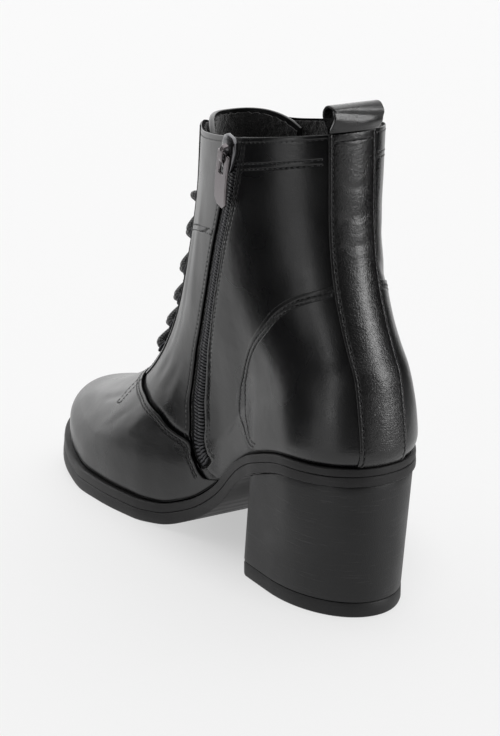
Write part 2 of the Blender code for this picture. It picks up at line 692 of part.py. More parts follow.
def make_lace(finish):
    """Lace between the eyelets: a bar below and crossings above it, joined where they meet."""
    cord = EYELET_SEAT + EYELET_THICK + GAP + LACE_RADIUS
    share = np.linspace(0, 1, 6)[:, None]
    runs = [(0, 0, 1)] + [(row, row + 1, side) for row in range(len(LACE_ROWS) - 1) for side in (-1, 1)]
    pieces = []
    for n, (start, end, side) in enumerate(runs):
        level = LACE_ROWS[start] + share * (LACE_ROWS[end] - LACE_ROWS[start])
        u = around_from(0.5, level, side * EYELET_OUT * (2 * share - 1))
        lift = cord + (0.0004 + 0.0008 * (n % 2)) * np.sin(math.pi * share)
        path = upper_surface(u, level, lift).reshape(-1, 3)
        pieces.append(tube(f"run_{n}", path, LACE_RADIUS, 6, finish))
    for side in (-1, 1):
        for row, level in enumerate(LACE_ROWS):
            middle, out, _, _ = eyelet_frame(level, side)
            low = EYELET_THICK + GAP
            path = [middle + h * out for h in (low, low + 2.2 * LACE_RADIUS)]
            pieces.append(tube(f"end_{side}_{row}", path, LACE_RADIUS * 1.12, 6, finish))
    lace = pieces[0]
    lace.name = lace.data.name = "lace"
    for piece in pieces[1:]:
        join(lace, piece)
    return lace


def centre_on_floor():
    """Moves everything so that the origin is under the middle of the bounding box."""
    bpy.context.view_layer.update()
    objects = list(bpy.data.objects)
    points = [obj.matrix_world @ v.co for obj in objects for v in obj.data.vertices]
    points = np.array(points)
    low, high = points.min(axis=0), points.max(axis=0)
    shift = Vector((-(low[0] + high[0]) / 2, -(low[1] + high[1]) / 2, -low[2]))
    for obj in objects:
        obj.matrix_world = Matrix.Translation(shift) @ obj.matrix_world


def main():
    for old in list(bpy.data.objects):
        bpy.data.objects.remove(old)
    leather = material("black_leather", (0.012, 0.012, 0.013), 0.3)
    rubber = material("black_rubber", (0.02, 0.02, 0.021), 0.5)
    plastic = material("grey_black_heel", (0.022, 0.021, 0.023), 0.55)
    lining = material("charcoal_textile", (0.03, 0.03, 0.032), 0.85)
    textile = material("black_zip_tape", (0.02, 0.02, 0.021), 0.8)
    teeth = material("black_nylon", (0.02, 0.02, 0.021), 0.4)
    gunmetal = material("gunmetal", (0.16, 0.16, 0.17), 0.3, 1.0)
    nickel = material("dark_nickel", (0.32, 0.32, 0.33), 0.22, 1.0)
    cord = material("black_lace", (0.018, 0.018, 0.019), 0.8)
    plate("outsole", 0, OUTSOLE_THICK, rubber)
    plate("midsole", OUTSOLE_THICK + GAP, SOLE_THICK, rubber)
    make_heel(rubber, plastic)
    make_insole(lining)
    make_upper(leather)
    make_tongue(lining)
    make_overlays(leather)
    make_pull_loop(leather)
    make_zip(textile, teeth, gunmetal, nickel)
    make_eyelets(gunmetal)
    make_lace(cord)
    centre_on_floor()


if __name__ == "__main__":
    main()
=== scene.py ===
# %% [markdown]
# # A right lace-up ankle boot on a block heel
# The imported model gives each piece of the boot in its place, in metres, with +X to the toe,
# +Y to the inner side and +Z up. This script lays the finished leather, rubber, metal and
# cloth over it. We load it first, because every later piece takes its place from it.

import math

import bmesh
import bpy
import numpy as np
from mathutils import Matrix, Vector


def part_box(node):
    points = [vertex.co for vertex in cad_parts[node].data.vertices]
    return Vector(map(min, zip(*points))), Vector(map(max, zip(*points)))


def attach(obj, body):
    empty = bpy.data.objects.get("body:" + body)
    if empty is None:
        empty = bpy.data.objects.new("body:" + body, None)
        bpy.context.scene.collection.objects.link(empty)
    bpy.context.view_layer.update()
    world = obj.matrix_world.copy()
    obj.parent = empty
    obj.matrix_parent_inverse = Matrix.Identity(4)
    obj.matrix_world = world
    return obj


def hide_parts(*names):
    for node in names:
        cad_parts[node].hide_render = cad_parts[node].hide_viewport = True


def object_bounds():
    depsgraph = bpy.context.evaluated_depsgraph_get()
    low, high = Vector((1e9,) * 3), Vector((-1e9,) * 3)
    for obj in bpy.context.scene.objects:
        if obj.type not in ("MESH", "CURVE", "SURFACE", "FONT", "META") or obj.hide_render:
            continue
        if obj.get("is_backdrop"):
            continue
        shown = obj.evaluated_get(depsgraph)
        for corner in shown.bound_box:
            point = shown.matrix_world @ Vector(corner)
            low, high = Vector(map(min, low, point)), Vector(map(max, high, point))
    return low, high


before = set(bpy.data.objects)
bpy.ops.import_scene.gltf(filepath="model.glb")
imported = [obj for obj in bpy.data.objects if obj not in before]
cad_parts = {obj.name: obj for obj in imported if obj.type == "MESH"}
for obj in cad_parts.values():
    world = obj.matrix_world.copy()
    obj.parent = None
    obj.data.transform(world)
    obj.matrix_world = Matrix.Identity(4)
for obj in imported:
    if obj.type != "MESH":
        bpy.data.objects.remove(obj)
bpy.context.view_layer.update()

# %% [markdown]
# ## The last
# A shoemaker stretches leather over a last, a wooden foot. Our last is a formula. Short
# tables give its sections, and a smooth curve is drawn through each column. The same tables
# stand in the part's source, so what we make here sits where the solids are.

# %% Tables of the last
LENGTH, BALL_WIDTH = 0.240, 0.091
HEEL_HEIGHT, TOE_SPRING = 0.0573, 0.0096
OUTSOLE_THICK, MIDSOLE_THICK, GAP = 0.0055, 0.0042, 0.0004
TOE_SWING, HEEL_ROUND, TOE_ROUND = 0.009, 0.034, 0.0615
SHAFT_RISE, FRONT_RISE, SHAFT_WIDTH = 0.1285, 0.1565, 0.073
WALL, TOE_LEDGE, HEEL_LEDGE = 0.0022, 0.003, 0.0008
SOLE_THICK = OUTSOLE_THICK + GAP + MIDSOLE_THICK
SEAT = SOLE_THICK + GAP

# share of length, heel height, toe spring, inner and outer half width, thickness
SOLE_SECTIONS = np.array(
    [
        (0.00, 1.000, 0.00, 0.300, 0.332, 0.78),
        (0.12, 0.978, 0.00, 0.300, 0.334, 0.78),
        (0.24, 0.835, 0.00, 0.285, 0.335, 0.78),
        (0.30, 0.700, 0.00, 0.262, 0.337, 0.80),
        (0.38, 0.385, 0.00, 0.255, 0.345, 0.84),
        (0.46, 0.148, 0.00, 0.293, 0.380, 0.90),
        (0.54, 0.022, 0.00, 0.360, 0.435, 0.96),
        (0.60, 0.000, 0.00, 0.405, 0.480, 1.00),
        (0.70, 0.000, 0.00, 0.436, 0.520, 1.02),
        (0.77, 0.000, 0.00, 0.438, 0.525, 1.06),
        (0.84, 0.000, 0.19, 0.434, 0.511, 1.12),
        (0.92, 0.000, 0.56, 0.434, 0.476, 1.18),
        (1.00, 0.000, 1.00, 0.437, 0.437, 1.20),
    ]
)

# level, back x and z, front x and z, girth, shaft, back and front rounding, sag
UPPER_SECTIONS = np.array(
    [
        (0.00, 0.000, 0.000, 0.000, 0.000, 1.000, 0.00, 0.14, 0.25, 1.00),
        (0.06, -0.008, 0.050, 0.004, 0.056, 1.012, 0.00, 0.14, 0.26, 0.97),
        (0.12, -0.004, 0.125, 0.032, 0.102, 1.003, 0.00, 0.14, 0.28, 0.92),
        (0.20, 0.003, 0.201, 0.095, 0.133, 0.975, 0.00, 0.14, 0.28, 0.84),
        (0.30, 0.011, 0.271, 0.172, 0.174, 0.940, 0.06, 0.15, 0.27, 0.72),
        (0.40, 0.032, 0.343, 0.246, 0.238, 0.900, 0.20, 0.16, 0.28, 0.58),
        (0.50, 0.054, 0.423, 0.305, 0.331, 0.880, 0.42, 0.18, 0.28, 0.42),
        (0.60, 0.075, 0.518, 0.348, 0.438, 0.862, 0.66, 0.19, 0.28, 0.26),
        (0.70, 0.089, 0.621, 0.378, 0.554, 0.848, 0.86, 0.20, 0.28, 0.12),
        (0.80, 0.097, 0.745, 0.409, 0.700, 0.850, 0.98, 0.20, 0.29, 0.04),
        (0.90, 0.099, 0.870, 0.430, 0.850, 0.862, 1.00, 0.19, 0.31, 0.00),
        (1.00, 0.101, 1.000, 0.438, 1.000, 0.875, 1.00, 0.18, 0.33, 0.00),
    ]
)


def smooth(xs, ys, x):
    """Curve through points that never overshoots: on each stretch a cubic whose end slopes
    are the harmonic means of the slopes on either side."""
    xs, ys, x = (np.asarray(a, float) for a in (xs, ys, x))
    step = np.diff(xs)
    rise = np.diff(ys) / step
    slope = np.zeros(len(xs))
    same = rise[:-1] * rise[1:] > 0
    slope[1:-1][same] = 2 * rise[:-1][same] * rise[1:][same] / (rise[:-1] + rise[1:])[same]
    slope[0], slope[-1] = rise[0], rise[-1]
    i = np.clip(np.searchsorted(xs, x) - 1, 0, len(step) - 1)
    f = (x - xs[i]) / step[i]
    return (
        ys[i] * (1 + 2 * f) * (1 - f) ** 2
        + ys[i + 1] * f * f * (3 - 2 * f)
        + step[i] * f * (1 - f) * ((1 - f) * slope[i] - f * slope[i + 1])
    )


def column(table, n, x):
    """Column n of a table read at x in its first column."""
    return smooth(table[:, 0], table[:, n], x)


def rounding(distance, reach):
    """Quarter circle: 0 at an end, 1 from reach inwards."""
    return np.sqrt(np.clip(1 - (1 - np.clip(distance / reach, 0, 1)) ** 2, 0, 1))


def sole_line(share, height):
    """Middle line of the sole: the underside's height at a share of the length, moved square
    to its slope by height times the thickness there."""

    def under(s):
        return HEEL_HEIGHT * column(SOLE_SECTIONS, 1, s) + TOE_SPRING * column(SOLE_SECTIONS, 2, s)

    share = np.asarray(share, float)
    height = height * column(SOLE_SECTIONS, 5, share)
    before, after = np.clip(share - 0.01, 0, 1), np.clip(share + 0.01, 0, 1)
    slope = (under(after) - under(before)) / ((after - before) * LENGTH)
    length = np.sqrt(1 + slope**2)
    return share * LENGTH - height * slope / length, under(share) + height / length


def foot_widths(share):
    """Inner and outer half widths of the sole at a share of the length."""
    share = np.clip(share, 0, 1)
    return BALL_WIDTH * column(SOLE_SECTIONS, 3, share), BALL_WIDTH * column(SOLE_SECTIONS, 4, share)


def toe_swing(share):
    """Lean of the middle line to the inner side: the cube of the share."""
    return TOE_SWING * np.clip(share, 0, 1) ** 3


def around(u):
    """Side (1 inner, -1 outer) and share from back to front of a place on a ring."""
    turn = np.asarray(u, float) % 1.0
    return np.where(turn <= 0.5, 1.0, -1.0), (1 - np.cos(2 * math.pi * turn)) / 2


def stations(t, back_inset, front_inset):
    """Shares of the length at t, inset at the two ends by the sixth power of the distance."""
    return t + (back_inset * (1 - t) ** 6 - front_inset * t**6) / LENGTH


def sole_ring(u, height, back_inset, front_inset):
    """Edge of the sole at u: the half width less the inset, times two quarter circles that
    round the heel and the toe."""
    side, t = around(u)
    share = stations(t, back_inset, front_inset)
    x, z = sole_line(share, height)
    inner, outer = foot_widths(share)
    inset = back_inset + (front_inset - back_inset) * t
    ends = rounding(t * LENGTH, HEEL_ROUND) * rounding((1 - t) * LENGTH, TOE_ROUND)
    y = toe_swing(share) + side * (np.where(side > 0, inner, outer) - inset) * ends
    return np.stack(np.broadcast_arrays(x, y, z), axis=-1)


# %% [markdown]
# The tables count from the back edge of the sole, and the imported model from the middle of
# its box. The outsole is in both, so the difference of their corners is the shift.

# %% The shift
ring = np.arange(56) / 56
edges = np.concatenate([sole_ring(ring, h, 0, 0) for h in (0.0007, OUTSOLE_THICK - 0.0007)])
low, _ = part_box("outsole")
SHIFT = np.array([low.x - edges[:, 0].min(), low.y - edges[:, 1].min(), 0.0])
print("shift in mm:", (1000 * SHIFT).round(3))


def upper_surface(u, level, out=0.0):
    """Outside of the upper. u goes once round from the back, by the inner side. level climbs
    from the sole at 0 to the collar at 1 and goes straight on above it. x and z run from the
    back point to the front point of the ring and keep a share of the sole's own curve, y is
    the half width times two quarter circles. out moves the point along the normal."""
    u, level = np.broadcast_arrays(np.asarray(u, float), np.asarray(level, float))
    step = 0.004
    if np.any(out):
        return upper_surface(u, level) + normals(u, level) * np.asarray(out)[..., None]
    if np.any(level > 1):
        top = np.minimum(level, 1)
        edge = upper_surface(u, top)
        slope = (edge - upper_surface(u, top - step)) / step
        return edge + slope * (level - top)[..., None]
    back_x, back_z, front_x, front_z, girth, shaft, back_round, front_round, sag = (
        column(UPPER_SECTIONS, n, level) for n in range(1, 10)
    )
    side, t = around(u)
    foot_x, foot_z = sole_line(stations(t, HEEL_LEDGE, TOE_LEDGE), SEAT)
    back_foot = sole_line(stations(0.0, HEEL_LEDGE, TOE_LEDGE), SEAT)
    front_foot = sole_line(stations(1.0, HEEL_LEDGE, TOE_LEDGE), SEAT)
    back_x, back_z = back_foot[0] + back_x * LENGTH, back_foot[1] + back_z * SHAFT_RISE
    front_x, front_z = front_foot[0] - front_x * LENGTH, front_foot[1] + front_z * FRONT_RISE
    curve_x = foot_x - (back_foot[0] + t * (front_foot[0] - back_foot[0]))
    curve_z = foot_z - (back_foot[1] + t * (front_foot[1] - back_foot[1]))
    x = back_x + t * (front_x - back_x) + sag * curve_x
    z = back_z + t * (front_z - back_z) + sag * curve_z
    inner, outer = foot_widths(x / LENGTH)
    ledge = HEEL_LEDGE + (TOE_LEDGE - HEEL_LEDGE) * np.clip(x / LENGTH, 0, 1)
    foot = np.where(side > 0, inner, outer) - ledge
    half = girth * ((1 - shaft) * foot + shaft * SHAFT_WIDTH / 2)
    reach = front_x - back_x
    half = half * rounding(t * reach, back_round * LENGTH)
    half = half * rounding((1 - t) * reach, front_round * LENGTH)
    y = toe_swing(x / LENGTH) * (1 - shaft) + side * half
    return np.stack([x, y, z], axis=-1) + SHIFT


def normals(u, level):
    """Outward normal of the upper: the cross product of its slopes along level and u."""
    step = 0.004
    du = upper_surface(u + step, level) - upper_surface(u - step, level)
    dv = upper_surface(u, level + step) - upper_surface(u, np.maximum(level - step, 0))
    normal = np.cross(dv, du)
    return normal / np.linalg.norm(normal, axis=-1, keepdims=True)


# %% [markdown]
# A maker measures along the leather, not along the formula. So we measure every ring once
# and keep the table of distances. around_from then finds the place a given number of
# millimetres further round.

# %% Distances along the leather
TURNS = np.linspace(-0.7, 1.7, 1921)
HEIGHTS = np.linspace(0, 1, 81)
rings = upper_surface(TURNS[None], HEIGHTS[:, None])
steps = np.linalg.norm(np.diff(rings, axis=1), axis=2)
ARCS = np.concatenate([np.zeros((len(HEIGHTS), 1)), np.cumsum(steps, axis=1)], axis=1)


def arc(u, level):
    """Distance round the ring up to u, read from the table by straight lines both ways."""
    i = np.clip(level, 0, 1) * (len(HEIGHTS) - 1)
    j = (u - TURNS[0]) / (TURNS[1] - TURNS[0])
    i0 = np.clip(i.astype(int), 0, len(HEIGHTS) - 2)
    j0 = np.clip(j.astype(int), 0, len(TURNS) - 2)
    fi, fj = i - i0, j - j0
    low = ARCS[i0, j0] * (1 - fj) + ARCS[i0, j0 + 1] * fj
    high = ARCS[i0 + 1, j0] * (1 - fj) + ARCS[i0 + 1, j0 + 1] * fj
    return low * (1 - fi) + high * fi


def around_from(u, level, distance):
    """u a distance further round, by a few steps down the slope of arc."""
    u, level, distance = (a.astype(float) for a in np.broadcast_arrays(u, level, distance))
    goal = arc(u, level) + distance
    found = u.copy()
    for _ in range(7):
        slope = (arc(found + 0.002, level) - arc(found - 0.002, level)) / 0.004
        found = np.clip(found + (goal - arc(found, level)) / slope, -0.69, 1.69)
    return found


around_collar = float(arc(np.array(1.0), np.array(1.0)) - arc(np.array(0.0), np.array(1.0)))
print("round the collar:", round(1000 * around_collar, 1), "mm")

# %% [markdown]
# ## Creases
# Worn leather keeps soft folds where the foot bends, and a new boot has faint ones from lasting. Each crease
# here is given as a line on the leather, how wide and how deep. It presses a trough with a low ridge on
# either side.

# %% Creases
LEATHER_RISE = 0.14  # metres of leather from level 0 to level 1
# u and level of both ends, width and depth in millimetres; depth below 0 is a ridge
CREASES = (
    (0.430, 0.200, 0.570, 0.200, 26.0, 1.7),
    (0.365, 0.340, 0.345, 0.175, 9.0, -0.28),
    (0.352, 0.300, 0.338, 0.190, 8.0, 0.34),
    (0.334, 0.325, 0.312, 0.245, 7.0, -0.20),
    (0.326, 0.275, 0.302, 0.180, 8.0, -0.20),
    (0.318, 0.290, 0.306, 0.215, 7.0, 0.20),
    (0.390, 0.330, 0.400, 0.230, 8.0, 0.5),
    (0.337, 0.500, 0.346, 0.425, 6.0, -0.20),
    (0.322, 0.520, 0.328, 0.410, 6.0, 0.22),
    (0.315, 0.460, 0.310, 0.360, 6.0, -0.16),
    (0.352, 0.520, 0.362, 0.440, 6.0, 0.20),
    (0.365, 0.640, 0.378, 0.500, 6.0, 0.35),
    (0.345, 0.860, 0.348, 0.560, 7.0, 0.35),
    (0.322, 0.900, 0.318, 0.600, 8.0, -0.30),
    (0.372, 0.950, 0.370, 0.700, 6.0, -0.30),
    (0.620, 0.330, 0.650, 0.200, 8.0, 0.7),
    (0.655, 0.310, 0.675, 0.200, 7.0, -0.4),
    (0.660, 0.520, 0.672, 0.420, 6.0, 0.5),
    (0.640, 0.880, 0.645, 0.580, 8.0, 0.4),
    (0.060, 0.66, 0.135, 0.60, 9.0, 0.5),
    (0.940, 0.67, 0.860, 0.60, 9.0, 0.6),
    (0.090, 0.74, 0.170, 0.69, 10.0, 0.4),
    (0.905, 0.75, 0.830, 0.69, 10.0, 0.5),
    (0.150, 0.90, 0.185, 0.62, 14.0, 0.5),
    (0.760, 0.80, 0.770, 0.50, 13.0, 0.6),
    (0.030, 0.800, -0.030, 0.800, 5.0, 0.35),
    (0.030, 0.730, -0.030, 0.725, 4.0, 0.35),
    (0.020, 0.870, -0.030, 0.872, 4.0, 0.30),
)


def relief(u, level):
    """Height of the folds in metres: for each crease minus depth times a bell across it,
    with a quarter of that as a wider ridge, faded out along a rounded end."""
    total = np.zeros(np.broadcast(u, level).shape)
    for u0, v0, u1, v1, width, depth in CREASES:
        u_mid, v_mid = np.array((u0 + u1) / 2), np.array((v0 + v1) / 2)
        turn = (arc(u_mid + 0.01, v_mid) - arc(u_mid - 0.01, v_mid)) / 0.02
        a, b = (np.array([u_end * turn, v_end * LEATHER_RISE]) for u_end, v_end in ((u0, v0), (u1, v1)))
        run = b - a
        x, y = u * turn - a[0], level * LEATHER_RISE - a[1]
        share = (x * run[0] + y * run[1]) / (run @ run)
        away = np.hypot(x - np.clip(share, 0, 1) * run[0], y - np.clip(share, 0, 1) * run[1])
        wide = width / 1000
        end = np.clip(1.4 - 2.2 * np.abs(share - 0.5), 0, 1)
        bell = np.exp(-((away / (wide * 0.45)) ** 2)) - 0.35 * np.exp(-((away / wide) ** 2))
        total -= depth / 1000 * bell * end * end * (3 - 2 * end)
    return total


print("creases:", len(CREASES))

# %% [markdown]
# ## Making meshes
# Every piece of leather is a sheet: a grid of points on its outside, the same grid at its
# underside, and a rounded rim between them. The rim matters, because the light on a cut
# edge is what tells one layer from the next.

# %% Mesh helpers
BOOT, PULL = "boot", "pull"


def quads(index, wrap_rows=False, wrap_cols=False):
    """Four-sided faces of a grid of point numbers, which may close on itself either way."""
    if wrap_rows:
        index = np.concatenate([index, index[:1]])
    if wrap_cols:
        index = np.concatenate([index, index[:, :1]], axis=1)
    corners = (index[:-1, :-1], index[:-1, 1:], index[1:, 1:], index[1:, :-1])
    return np.stack([c.ravel() for c in corners], axis=1)


def tube(index):
    """Faces of a closed solid from the point numbers of its rings, each of an even count:
    four-sided faces round the side, and strips across the first and the last ring."""
    at = np.arange(index.shape[1] // 2 - 1)
    ends = [
        np.stack([ring[at], ring[at + 1], ring[-2 - at], ring[-1 - at]], axis=1)
        for ring in (index[0, ::-1], index[-1])
    ]
    return np.concatenate([quads(index, wrap_cols=True), *ends])


def make_mesh(name, points, faces, finish, body=BOOT, attributes=None, sharp=None):
    """Mesh object from arrays of points and of four-sided faces, riding on a body. sharp is
    the angle in degrees from which an edge is shaded as a sharp one."""
    mesh = bpy.data.meshes.new(name)
    points = np.asarray(points, np.float32).reshape(-1, 3)
    faces = np.asarray(faces, np.int32)
    mesh.vertices.add(len(points))
    mesh.vertices.foreach_set("co", points.ravel())
    mesh.loops.add(faces.size)
    mesh.loops.foreach_set("vertex_index", faces.ravel())
    mesh.polygons.add(len(faces))
    mesh.polygons.foreach_set("loop_start", np.arange(0, faces.size, faces.shape[1], dtype=np.int32))
    mesh.update(calc_edges=True)
    mesh.validate()
    mesh.shade_smooth()
    if sharp:
        mesh.set_sharp_from_angle(angle=math.radians(sharp))
    for key, values in (attributes or {}).items():
        made = mesh.attributes.new(key, "FLOAT", "POINT")
        made.data.foreach_set("value", np.asarray(values, np.float32).ravel())
    mesh.materials.append(finish)
    obj = bpy.data.objects.new(name, mesh)
    bpy.context.collection.objects.link(obj)
    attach(obj, body)
    return obj


def sheet(points, thick, outside, rim=0.0004, steps=3):
    """Points and faces of a sheet of leather from a grid of points on its outside. Past each
    border the grid goes on over a quarter circle of radius rim, then straight down to the
    underside, which is the same grid moved in by the thickness. outside is a direction that
    looks away from the boot at each point, or at all of them."""
    along_rows = np.gradient(points, axis=0)
    along_cols = np.gradient(points, axis=1)
    normal = np.cross(along_cols, along_rows)
    flip = (normal * outside).sum() < 0
    normal *= (-1 if flip else 1) / np.linalg.norm(normal, axis=-1, keepdims=True)
    along_rows /= np.linalg.norm(along_rows, axis=-1, keepdims=True)
    along_cols /= np.linalg.norm(along_cols, axis=-1, keepdims=True)
    rows, cols = points.shape[:2]
    i, j = np.arange(-steps, rows + steps), np.arange(-steps, cols + steps)
    ci, cj = np.clip(i, 0, rows - 1), np.clip(j, 0, cols - 1)
    grid = np.ix_(ci, cj)
    over_i = (i - ci)[:, None] / steps * np.ones(len(j))
    over_j = (j - cj)[None] / steps * np.ones((len(i), 1))
    side = rim * (
        np.sin(over_i * math.pi / 2)[..., None] * along_rows[grid]
        + np.sin(over_j * math.pi / 2)[..., None] * along_cols[grid]
    )
    drop = rim * (1 - np.cos(np.maximum(np.abs(over_i), np.abs(over_j)) * math.pi / 2))
    top = points[grid] + side - normal[grid] * drop[..., None]
    under = points[grid] + side - normal[grid] * thick
    index = np.arange(top.shape[0] * top.shape[1]).reshape(top.shape[:2])
    count = index.size
    border = np.concatenate([index[0], index[1:, -1], index[-1, -2::-1], index[-2:0:-1, 0]])
    walls = quads(np.stack([border, border + count]), wrap_cols=True)
    faces = np.concatenate([quads(index), quads(index)[:, ::-1] + count, walls[:, ::-1]])
    if flip:
        faces = faces[:, ::-1]
    return np.concatenate([top.reshape(-1, 3), under.reshape(-1, 3)]), faces


def cut_edge(rows, cols, steps=3):
    """1 on the cut side and the underside of a sheet, 0 on its outside: the side starts
    where a row or column has gone all the way past the border."""

    def past(count):
        at = np.arange(-steps, count + steps)
        return np.maximum(np.maximum(-at, at - (count - 1)), 0) / steps

    top = np.maximum(past(rows)[:, None], past(cols)[None]) > 0.9
    return np.concatenate([top.ravel(), np.ones(top.size)]).astype(float)


def outward(faces, points, inside):
    """Faces turned round, if most of them look towards the point inside."""
    corner = points[faces]
    normal = np.cross(corner[:, 2] - corner[:, 0], corner[:, 3] - corner[:, 1])
    towards = np.einsum("ij,ij->i", normal, corner.mean(axis=1) - inside).sum()
    return faces if towards > 0 else faces[:, ::-1]


# %% [markdown]
# ## Seams
# A seam is a row of stitches a few millimetres from an edge. Its path is a line on the leather. We walk
# along it in equal steps, and each leather piece also learns how far each of its points is from a seam, so
# that its finish can draw the furrow that the thread pulls and paint shade at its foot.

# %% Seams
STITCH = 0.0024  # metres from one stitch to the next
SEAM_REACH = 0.006  # metres; further off, a point has no furrow to draw
SEAMS = []


def walk(u, level, pitch):
    """Places at equal distances along a line on the leather."""
    u, level = np.broadcast_arrays(u, level)
    points = upper_surface(u, level)
    run = np.concatenate([[0], np.cumsum(np.linalg.norm(np.diff(points, axis=0), axis=1))])
    at = np.linspace(0, run[-1], max(2, int(round(run[-1] / pitch)) + 1))
    return np.interp(at, run, u), np.interp(at, run, level)


def seam(u, level, height):
    """Remembers a row of stitches along a line, at a height over the upper in metres."""
    u, level = (np.asarray(a, float) for a in np.broadcast_arrays(u, level))
    SEAMS.append((*walk(u, level, STITCH), height))


def seam_distance(points):
    """Distance in millimetres from each point to the nearest seam, or to the crease where the upper turns in
    over the sole, at most SEAM_REACH. Along that crease the leather's finish presses a furrow and paints
    shade, as at a seam. The points go through in parts of 4,000, which keeps the table of distances small."""
    turn = np.linspace(0, 1, 1200)
    # the crease over the sole, 0.3 mm out: leather near it gets a furrow and painted shade
    dense = [upper_surface(turn, np.full(turn.shape, 0.005), np.full(turn.shape, 0.0003))]
    for u, level, height in SEAMS:
        at = np.arange(len(u))
        fine = np.linspace(0, len(u) - 1, 4 * len(u))
        fine_u, fine_level = np.interp(fine, at, u), np.interp(fine, at, level)
        dense.append(upper_surface(fine_u, fine_level, np.full(len(fine), height)))
    dense = np.concatenate(dense)
    found = np.full(len(points), SEAM_REACH)
    for start in range(0, len(points), 4000):
        part = points[start : start + 4000]
        square = ((part[:, None] - dense[None]) ** 2).sum(axis=2)
        found[start : start + 4000] = np.minimum(np.sqrt(square.min(axis=1)), SEAM_REACH)
    return 1000 * found


# %% [markdown]
# ## Finishes
# Each finish starts from the real material. Colours are sRGB hex values turned to linear,
# and pattern sizes are real ones in millimetres. Every relief is a height in millimetres
# that goes to one Bump node. The leather comes first, because most of the boot is leather.

# %% Material helpers


def linear(code):
    """Linear colour of an sRGB hex value: the power curve of the standard, with its foot."""
    value = np.array([int(code[n : n + 2], 16) for n in (1, 3, 5)]) / 255
    value = np.where(value <= 0.04045, value / 12.92, ((value + 0.055) / 1.055) ** 2.4)
    return (*value.tolist(), 1.0)


def node(tree, kind, inputs=(), **settings):
    """One node with its settings and links. The inputs are a dictionary by name, or a plain
    row in the node's own order, and each is a value or another node's output."""
    made = tree.nodes.new(kind)
    for key, value in settings.items():
        setattr(made, key, value)
    for key, value in dict(inputs if isinstance(inputs, dict) else enumerate(inputs)).items():
        socket = made.inputs[key]
        if isinstance(value, bpy.types.NodeSocket):
            tree.links.new(value, socket)
        else:
            socket.default_value = value
    return made


def finish(name, **values):
    """New material with its Principled shader set to constant values."""
    made = bpy.data.materials.new(name)
    made.use_nodes = True
    shader = made.node_tree.nodes["Principled BSDF"]
    for key, value in values.items():
        shader.inputs[key.replace("_", " ")].default_value = value
    return made, made.node_tree, shader


def surface(tree, shader, colour, gloss, heights):
    """Joins a finish to its shader: colour, roughness, and the sum of its heights in
    millimetres, which becomes the normal."""
    total = heights[0]
    for height in heights[1:]:
        total = node(tree, "ShaderNodeMath", (total, height), operation="ADD").outputs[0]
    raised = node(tree, "ShaderNodeBump", {"Height": total, "Distance": 0.001, "Strength": 1.0})
    tree.links.new(raised.outputs["Normal"], shader.inputs["Normal"])
    tree.links.new(gloss, shader.inputs["Roughness"])
    tree.links.new(colour, shader.inputs["Base Color"])


# A Map Range node carries a value from one range to another: its row of inputs is the value,
# the range it comes from and the range it goes to. EASED makes it leave and arrive gently.
RANGE, MATH, MIX = "ShaderNodeMapRange", "ShaderNodeMath", "ShaderNodeMix"
NOISE, CELLS, PLACE = "ShaderNodeTexNoise", "ShaderNodeTexVoronoi", "ShaderNodeTexCoord"
EASED = {"interpolation_type": "SMOOTHSTEP"}
# leather with a cut edge is this matt; plain leather has this much mirror and coat of wax
MATT, GLOSS_BARE, COAT_BARE = 0.85, 0.5, 0.12
print("helpers ready; dark leather in linear light:", [round(v, 5) for v in linear("#08080a")[:3]])

# %% Leather


